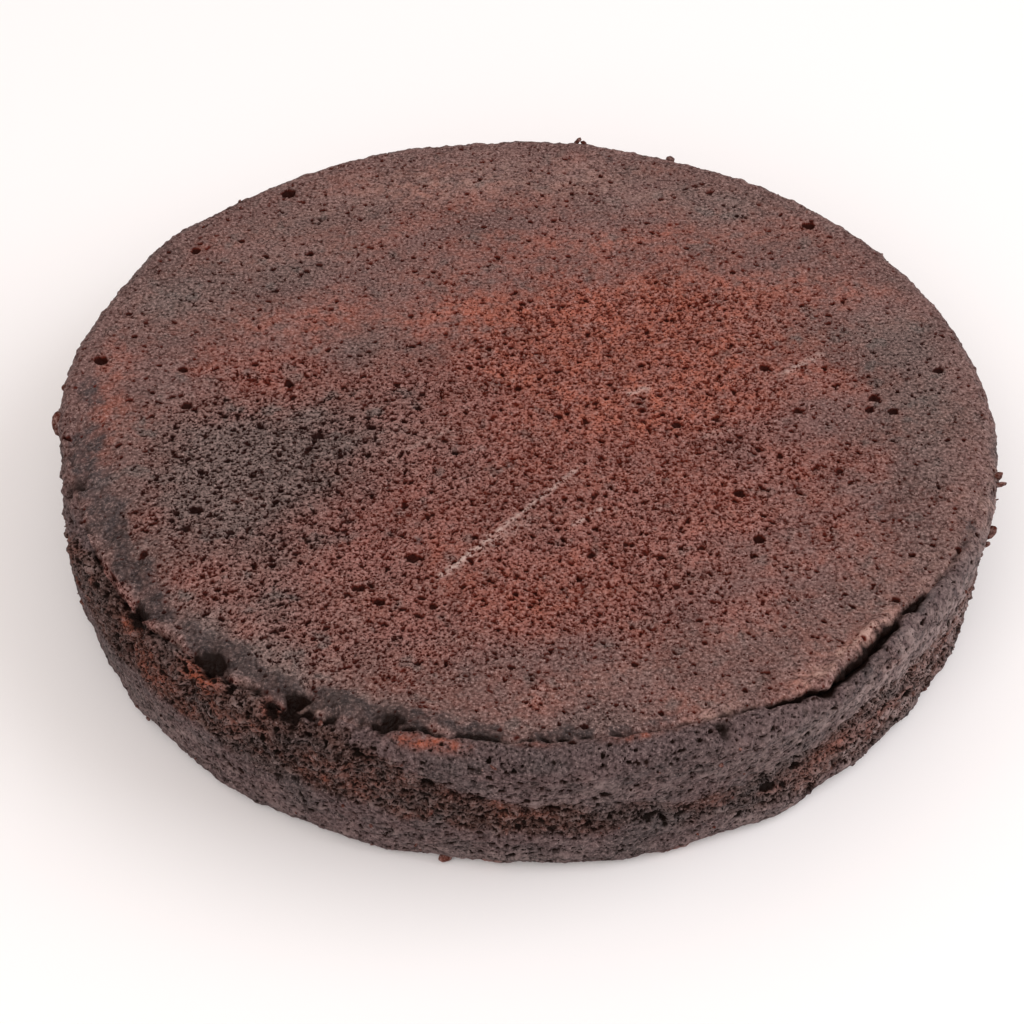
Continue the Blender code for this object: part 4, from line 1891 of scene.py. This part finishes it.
@dataclass(frozen=True)
class Shading:
    """How the masks and clouds steer the crumb's colour, painted shade and highlights, fine pores and
    gloss.
    """

    # Fine pores and crevices, fewer where the crumb is closed and gone on wet skin
    pores_by_opening: Ramp = Ramp(0.1, 0.8, 0.12, 1.0)
    specks_by_opening: Ramp = Ramp(0.0, 1.0, 0.6, 1.0)
    crevices: Ramp = Ramp(0.0, 0.26, 0.85, 0.0)
    crevices_by_opening: Ramp = Ramp(0.1, 0.8, 0.25, 1.0)
    dryness: Ramp = Ramp(0.2, 0.7, 1.0, 0.1)
    # Skin or bare crumb, red crumb, smears with painted shade at the front left, pale lumps with
    # painted highlights, and wet skin
    bareness: Ramp = Ramp(0.1, 0.9)
    redness: Ramp = Ramp(0.2, 0.8, 0.35, 1.15)
    smear_share: float = 0.85
    fleck_shade: Ramp = Ramp(0.0, 1.0, 0.80, 1.20)
    broad_shade: Ramp = Ramp(0.0, 1.0, 0.85, 1.15)
    pale_and_lit_share: Ramp = Ramp(0.2, 0.7)
    dampness: Ramp = Ramp(0.15, 0.75, 0.92, 0.55)
    # Painted shade in crevices and in the grain's hollows
    dim_fleck: Ramp = Ramp(0.42, 0.05)
    dim_close: Ramp = Ramp(0.9, 0.2, 0.3, 0.8)
    dim_relief: Ramp = Ramp(0.40, 0.02, 0.0, 0.9)
    # Painted highlights on grains and raised edges, fewer on wet skin; then the scratches
    glint_grit: Ramp = Ramp(0.60, 0.95)
    glint_fleck: Ramp = Ramp(0.45, 0.8)
    glint_share: float = 0.55
    lift_fleck: Ramp = Ramp(0.58, 1.0, 0.0, 0.20)
    lift_relief: Ramp = Ramp(0.60, 1.0, 0.0, 0.42)
    wet_glint: Ramp = Ramp(0.0, 1.0, 1.0, 0.85)
    scratch_share: float = 0.8
    # Painted shade in the pits, red in red crumb and black in grey, and in torn clefts
    pit_depth: Ramp = Ramp(0.05, 0.8)
    hollow_share: float = 0.8
    red_bottom: Ramp = Ramp(-0.6, 0.4, 0.1, 1.0)
    sinking: Ramp = Ramp(0.0, 0.6)
    blackest: Ramp = Ramp(0.6, 1.0, 0.0, 0.75)
    cleft_shading: Ramp = Ramp(0.2, 0.7)
    # What the clouds and fine pores add to the roughness and to the bump
    smoother: float = -0.10
    cloud_gloss: float = 0.2
    hollow_gloss: float = 0.4
    fine_bump: float = 0.3
    close_bump: float = 0.4


@dataclass(frozen=True)
class CrumbFinish:
    """Dark cocoa crumb and the skin on it, with painted shade in its pits, crevices and clefts and
    painted highlights on its grains and edges.

    Attributes:
        name: the material's name.
        palette: the colours.
        beside: the palette at the edge where the mask "side" is 0, if it is another.
        pore_size: width of the large fine pores' cells in mm, with pore_share.
        speck_size: width of the specks' cells in mm, with speck_share.
        bump_depth: height of the finest relief in mm.
        shading: what the finishes have in common.
    """

    name: str
    palette: Palette = Palette()
    beside: Palette | None = None
    pore_size: float = 0.80
    pore_share: float = 0.92
    speck_size: float = 0.42
    speck_share: float = 0.40
    roughness: float = 0.60
    wet_roughness: float = 0.42
    ior: float = 1.18
    bump: float = 0.8
    bump_depth: float = 0.28
    shading: Shading = Shading()

    def hues(self, wiring: Wiring) -> Hues:
        """The colours by name, eased from the palette beside over the mask "side".

        Args:
            wiring: the material's wiring.

        Returns:
            For each colour of the palette, the colour or the socket that gives it.
        """
        own = {name: (*colour, 1.0) for name, colour in vars(self.palette).items()}
        if self.beside is None:
            return own
        side = wiring.mask(Mask.SIDE)
        other = vars(self.beside)
        return {name: wiring.blend(side, (*other[name], 1.0), colour) for name, colour in own.items()}

    def material(self, groups: CrumbGroups) -> bpy.types.Material:
        """Builds the finish.

        Args:
            groups: the shared node groups.

        Returns:
            The material.
        """
        made = bpy.data.materials.new(self.name)
        made.use_nodes = True
        made.node_tree.nodes.clear()
        wiring = Wiring(made.node_tree)
        place = wiring.node("ShaderNodeTexCoord").outputs["Object"]
        mottle = wiring.node("ShaderNodeGroup", {}, node_tree=groups.mottle)
        wiring.feed(mottle.inputs["Place"], place)
        clouds = Clouds(*(mottle.outputs[name] for name in CLOUDS))
        wet = wiring.mask(Mask.WET)
        hollow = wiring.maths(
            "MULTIPLY",
            self.hollow(wiring, groups, place, clouds.fleck),
            wiring.remap(wet, self.shading.dryness),
        )
        hues = self.hues(wiring)
        tone = self.stained(wiring, clouds, wet, hues)
        tone = self.lit(wiring, clouds, wet, hues, tone)
        tone = self.pitted(wiring, hollow, hues, tone)
        inputs = {
            "Base Color": tone,
            "Roughness": self.gloss(wiring, clouds, wet, hollow),
            "Normal": self.normal(wiring, clouds, hollow),
            "IOR": self.ior,
        }
        shader = wiring.node("ShaderNodeBsdfPrincipled", inputs)
        wiring.node("ShaderNodeOutputMaterial", {"Surface": shader.outputs[0]})
        return made

    def gloss(self, wiring: Wiring, clouds: Clouds, wet: Socket, hollow: Socket) -> Socket:
        """The roughness: low on wet skin, high in the fine pores."""
        shading = self.shading
        uneven = wiring.maths("MULTIPLY", clouds.close, shading.cloud_gloss)
        dry = wiring.maths("ADD", self.roughness + shading.smoother, uneven)
        inputs = {0: wet, 2: dry, 3: self.wet_roughness}
        mixed = wiring.node("ShaderNodeMix", inputs, data_type="FLOAT").outputs[0]
        rough_pores = wiring.maths("MULTIPLY", hollow, shading.hollow_gloss)
        return wiring.maths("ADD", mixed, rough_pores, clamp=True)

    def normal(self, wiring: Wiring, clouds: Clouds, hollow: Socket) -> Socket:
        """The finest relief: grit and flecks, with the fine pores sunk in."""
        shading = self.shading
        fine = wiring.maths("ADD", clouds.fleck, clouds.grit)
        height = wiring.maths("MULTIPLY", fine, shading.fine_bump)
        close = wiring.maths("MULTIPLY", clouds.close, shading.close_bump)
        height = wiring.maths("SUBTRACT", wiring.maths("ADD", height, close), hollow)
        inputs = {"Strength": self.bump, "Distance": self.bump_depth * MM, "Height": height}
        return wiring.node("ShaderNodeBump", inputs).outputs[0]

    def hollow(self, wiring: Wiring, groups: CrumbGroups, place: Socket, fleck: Socket) -> Socket:
        """Depth of the pores that are too small for the mesh, from 0 to 1.

        Args:
            wiring: the material's wiring.
            groups: the shared node groups.
            place: where the shaded point lies.
            fleck: the fine cloud, whose hollows are crevices.

        Returns:
            The greatest of the large pores, the specks and the crevices.
        """
        shading = self.shading
        opened = wiring.mask(Mask.OPENED)
        kinds = (
            (self.pore_size, self.pore_share, shading.pores_by_opening),
            (self.speck_size, self.speck_share, shading.specks_by_opening),
        )
        deepest = wiring.remap(fleck, shading.crevices)
        deepest = wiring.maths("MULTIPLY", deepest, wiring.remap(opened, shading.crevices_by_opening))
        for size, most, by_opening in kinds:
            pores = wiring.node("ShaderNodeGroup", {}, node_tree=groups.pores)
            share = wiring.maths("MULTIPLY", wiring.remap(opened, by_opening), most)
            wiring.feed(pores.inputs["Place"], place)
            wiring.feed(pores.inputs["Size"], size)
            wiring.feed(pores.inputs["Share"], share)
            deepest = wiring.maths("MAXIMUM", deepest, pores.outputs["Pore"])
        return deepest

    def stained(self, wiring: Wiring, clouds: Clouds, wet: Socket, hues: Hues) -> Socket:
        """Skin or bare crumb, with its red, grey, pale and wet parts, painted shade at the front left
        and painted highlights.

        Args:
            wiring: the material's wiring.
            clouds: the uneven tones.
            wet: 1 on wet skin.
            hues: the colours by name.

        Returns:
            The colour.
        """
        shading = self.shading
        bareness = wiring.remap(wiring.mask(Mask.OPENED), shading.bareness)
        tone = wiring.blend(bareness, hues["skin"], hues["crumb"])
        redness = wiring.remap(clouds.close, shading.redness)
        redness = wiring.maths("MULTIPLY", wiring.mask(Mask.EMBER), redness)
        tone = wiring.blend(redness, tone, hues["ember"])
        # Grey smears, with painted shade at the front left
        smeared = wiring.maths("MULTIPLY", wiring.mask(Mask.GREY_AND_SHADE), shading.smear_share)
        tone = wiring.blend(smeared, tone, hues["smear"])
        shade = wiring.maths(
            "MULTIPLY",
            wiring.remap(clouds.fleck, shading.fleck_shade),
            wiring.remap(clouds.broad, shading.broad_shade),
        )
        shade = wiring.node("ShaderNodeCombineColor", {0: shade, 1: shade, 2: shade}).outputs[0]
        tone = wiring.blend(1.0, tone, shade, "MULTIPLY")
        # Pale crumb and painted highlights
        pale_and_lit_share = wiring.remap(clouds.close, shading.pale_and_lit_share)
        pale_and_lit_share = wiring.maths("MULTIPLY", wiring.mask(Mask.PALE_AND_LIT), pale_and_lit_share)
        tone = wiring.blend(pale_and_lit_share, tone, hues["pale"])
        dampness = wiring.maths("MULTIPLY", wet, wiring.remap(clouds.close, shading.dampness))
        return wiring.blend(dampness, tone, hues["wet"])

    def lit(self, wiring: Wiring, clouds: Clouds, wet: Socket, hues: Hues, tone: Socket) -> Socket:
        """Paints shade in the crevices and highlights on grains and raised edges, and lightens the
        scratches.

        Args:
            wiring: the material's wiring.
            clouds: the uneven tones.
            wet: 1 on wet skin.
            hues: the colours by name.
            tone: the colour so far.

        Returns:
            The colour.
        """
        shading = self.shading
        # Painted shade in crevices and the grain's hollows
        relief = wiring.mask(Mask.RELIEF)
        dim = wiring.maths(
            "MULTIPLY",
            wiring.remap(clouds.fleck, shading.dim_fleck),
            wiring.remap(clouds.close, shading.dim_close),
        )
        dim = wiring.maths("MAXIMUM", dim, wiring.remap(relief, shading.dim_relief))
        tone = wiring.blend(dim, tone, hues["shaded"])
        # Painted highlights on grains and raised edges
        glint = wiring.maths(
            "MULTIPLY",
            wiring.remap(clouds.grit, shading.glint_grit),
            wiring.remap(clouds.fleck, shading.glint_fleck),
        )
        glint = wiring.maths("MULTIPLY", glint, shading.glint_share)
        glint = wiring.maths("MAXIMUM", glint, wiring.remap(clouds.fleck, shading.lift_fleck))
        glint = wiring.maths("MAXIMUM", glint, wiring.remap(relief, shading.lift_relief))
        glint = wiring.maths("MULTIPLY", glint, wiring.remap(wet, shading.wet_glint))
        tone = wiring.blend(glint, tone, hues["lit"])
        scratched = wiring.maths("MULTIPLY", wiring.mask(Mask.SCRATCH), shading.scratch_share)
        return wiring.blend(scratched, tone, hues["scratch"])

    def pitted(self, wiring: Wiring, hollow: Socket, hues: Hues, tone: Socket) -> Socket:
        """Paints shade in the pits, over their dark red crumb, and in torn clefts.

        Args:
            wiring: the material's wiring.
            hollow: depth of the fine pores.
            hues: the colours by name.
            tone: the colour so far.

        Returns:
            The colour.
        """
        shading = self.shading
        # Painted shade in the pits
        depth = wiring.maths(
            "MAXIMUM",
            wiring.remap(wiring.mask(Mask.PIT), shading.pit_depth),
            wiring.maths("MULTIPLY", hollow, shading.hollow_share),
        )
        redder = wiring.maths("SUBTRACT", wiring.mask(Mask.EMBER), wiring.mask(Mask.GREY_AND_SHADE))
        redder = wiring.remap(redder, shading.red_bottom)
        bottom = wiring.blend(redder, hues["pit_shade"], hues["red_pit"])
        tone = wiring.blend(wiring.remap(depth, shading.sinking), tone, bottom)
        tone = wiring.blend(wiring.remap(depth, shading.blackest), tone, hues["pit_shade"])
        # Painted shade in torn clefts
        cleft = wiring.remap(wiring.mask(Mask.TORN), shading.cleft_shading)
        return wiring.blend(cleft, tone, hues["cleft"])


WALL_PALETTE = Palette(
    crumb=(0.062, 0.029, 0.023),
    ember=(0.30, 0.070, 0.035),
    skin=(0.084, 0.053, 0.053),
    smear=(0.050, 0.041, 0.041),
    # Painted highlight and painted shade of the wall's grain
    lit=(0.29, 0.21, 0.20),
    shaded=(0.008, 0.004, 0.003),
    # Pale crumb and painted highlights of the wall
    pale=(0.26, 0.19, 0.18),
    # The wall's pits: dark red crumb and painted shade
    red_pit=(0.018, 0.004, 0.002),
    pit_shade=(0.005, 0.002, 0.001),
)
UNDER_PALETTE = Palette(skin=(0.085, 0.040, 0.030))
LOOSE_PALETTE = Palette(crumb=(0.050, 0.020, 0.014), ember=(0.12, 0.03, 0.018))
TOP_FINISH = CrumbFinish("top_crumb")
WALL_FINISH = CrumbFinish(
    "wall_crumb", WALL_PALETTE, beside=Palette(), pore_share=0.6, speck_share=0.3
)
UNDER_FINISH = CrumbFinish("underside_crumb", UNDER_PALETTE, pore_share=0.4)
LOOSE_FINISH = CrumbFinish("loose_crumb", LOOSE_PALETTE, pore_share=0.2)


@dataclass(frozen=True)
class Stage:
    """Plain pale floor, soft light and the photograph's viewpoint."""

    floor_size: float = 6.0
    floor_colour: Colour = (0.915, 0.893, 0.897)
    sky: Colour = (1.03, 0.95, 0.90)
    sky_strength: float = 0.68
    distance: float = 0.560
    elevation: float = 43.68
    roll: float = -1.50
    focal_pixels: float = 2525.45
    frame_pixels: float = 1024.0
    sensor: float = 36.0
    # Where the middle of the cake's base falls in the frame, in pixels from the left and the top
    base_pixel: tuple[float, float] = (523.7, 522.2)

    def build(self) -> None:
        """Makes the floor, the lights and the camera."""
        self.floor()
        self.world()
        self.lamp("window", (2.0, 0.1, 1.35), 2.2, 33.0, (0.94, 0.98, 1.03))
        self.lamp("room", (-0.5, -1.9, 1.7), 2.2, 34.0, (1.0, 0.985, 0.98))
        self.camera()
        bpy.context.scene.view_settings.view_transform = "Standard"

    def floor(self) -> None:
        """A pale sheet that isn't part of the cake."""
        half = self.floor_size / 2
        mesh = bpy.data.meshes.new("floor")
        corners = [(-half, -half, 0), (half, -half, 0), (half, half, 0), (-half, half, 0)]
        mesh.from_pydata(corners, [], [(0, 1, 2, 3)])
        floor = bpy.data.objects.new("floor", mesh)
        bpy.context.scene.collection.objects.link(floor)
        material = bpy.data.materials.new("pale_floor")
        material.use_nodes = True
        shader = material.node_tree.nodes["Principled BSDF"]
        shader.inputs["Base Color"].default_value = (*self.floor_colour, 1.0)
        shader.inputs["Roughness"].default_value = 0.6
        mesh.materials.append(material)

    def world(self) -> None:
        """Even light from all round."""
        world = bpy.data.worlds.new("soft_sky")
        world.use_nodes = True
        background = world.node_tree.nodes["Background"]
        background.inputs["Color"].default_value = (*self.sky, 1.0)
        background.inputs["Strength"].default_value = self.sky_strength
        bpy.context.scene.world = world

    def lamp(self, name: str, place: tuple, size: float, power: float, colour: tuple) -> None:
        """A large square lamp that faces the cake.

        Args:
            name: the lamp's name.
            place: where it stands, in metres.
            size: its side in metres.
            power: its power in watts.
            colour: its linear colour.
        """
        light = bpy.data.lights.new(name, "AREA")
        light.size = size
        light.energy = power
        light.color = colour
        lamp = bpy.data.objects.new(name, light)
        lamp.location = place
        lamp.rotation_euler = (-Vector(place)).to_track_quat("-Z", "Y").to_euler()
        bpy.context.scene.collection.objects.link(lamp)

    def camera(self) -> None:
        """A camera whose frame matches the photograph's.

        It looks along +Y and down by the elevation at the middle of the base, is rolled about
        that line, and is shifted by the few pixels that the base stands off the frame's middle.
        """
        lift = math.radians(self.elevation)
        forward = Vector((0, math.cos(lift), -math.sin(lift)))
        right = Vector((1, 0, 0))
        up = right.cross(forward)
        roll = math.radians(self.roll)
        across = right * math.cos(roll) - up * math.sin(roll)
        above = right * math.sin(roll) + up * math.cos(roll)
        data = bpy.data.cameras.new("photo_camera")
        data.sensor_width = self.sensor
        data.lens = self.focal_pixels / self.frame_pixels * self.sensor
        middle = self.frame_pixels / 2
        data.shift_x = (middle - self.base_pixel[0]) / self.frame_pixels
        data.shift_y = (self.base_pixel[1] - middle) / self.frame_pixels
        data.clip_start = 0.01
        camera = bpy.data.objects.new("photo_camera", data)
        turn = Matrix((across, above, -forward)).transposed().to_4x4()
        camera.matrix_world = Matrix.Translation(-forward * self.distance) @ turn
        bpy.context.scene.collection.objects.link(camera)
        bpy.context.scene.camera = camera


@dataclass
class FudgeCake:
    """The whole cake: its shells and what clings to them."""

    surface: CrumbSurface = CrumbSurface()

    def build(self) -> None:
        """Builds and dresses each part in turn."""
        groups = CrumbGroups(fine_pores_group(), mottle_group())
        TopCrust(self.surface).build(TOP_FINISH.material(groups))
        WallCrust(self.surface).build(WALL_FINISH.material(groups))
        Underside(self.surface).build(UNDER_FINISH.material(groups))
        ClingingCrumbs(self.surface).build(LOOSE_FINISH.material(groups))


def main() -> None:
    """Builds the stage and the cake, in order."""
    logging.basicConfig(level=logging.INFO, format="%(message)s")
    Stage().build()
    LOG.info("stage: floor, two lamps and a camera")
    FudgeCake().build()


if __name__ == "__main__":
    main()
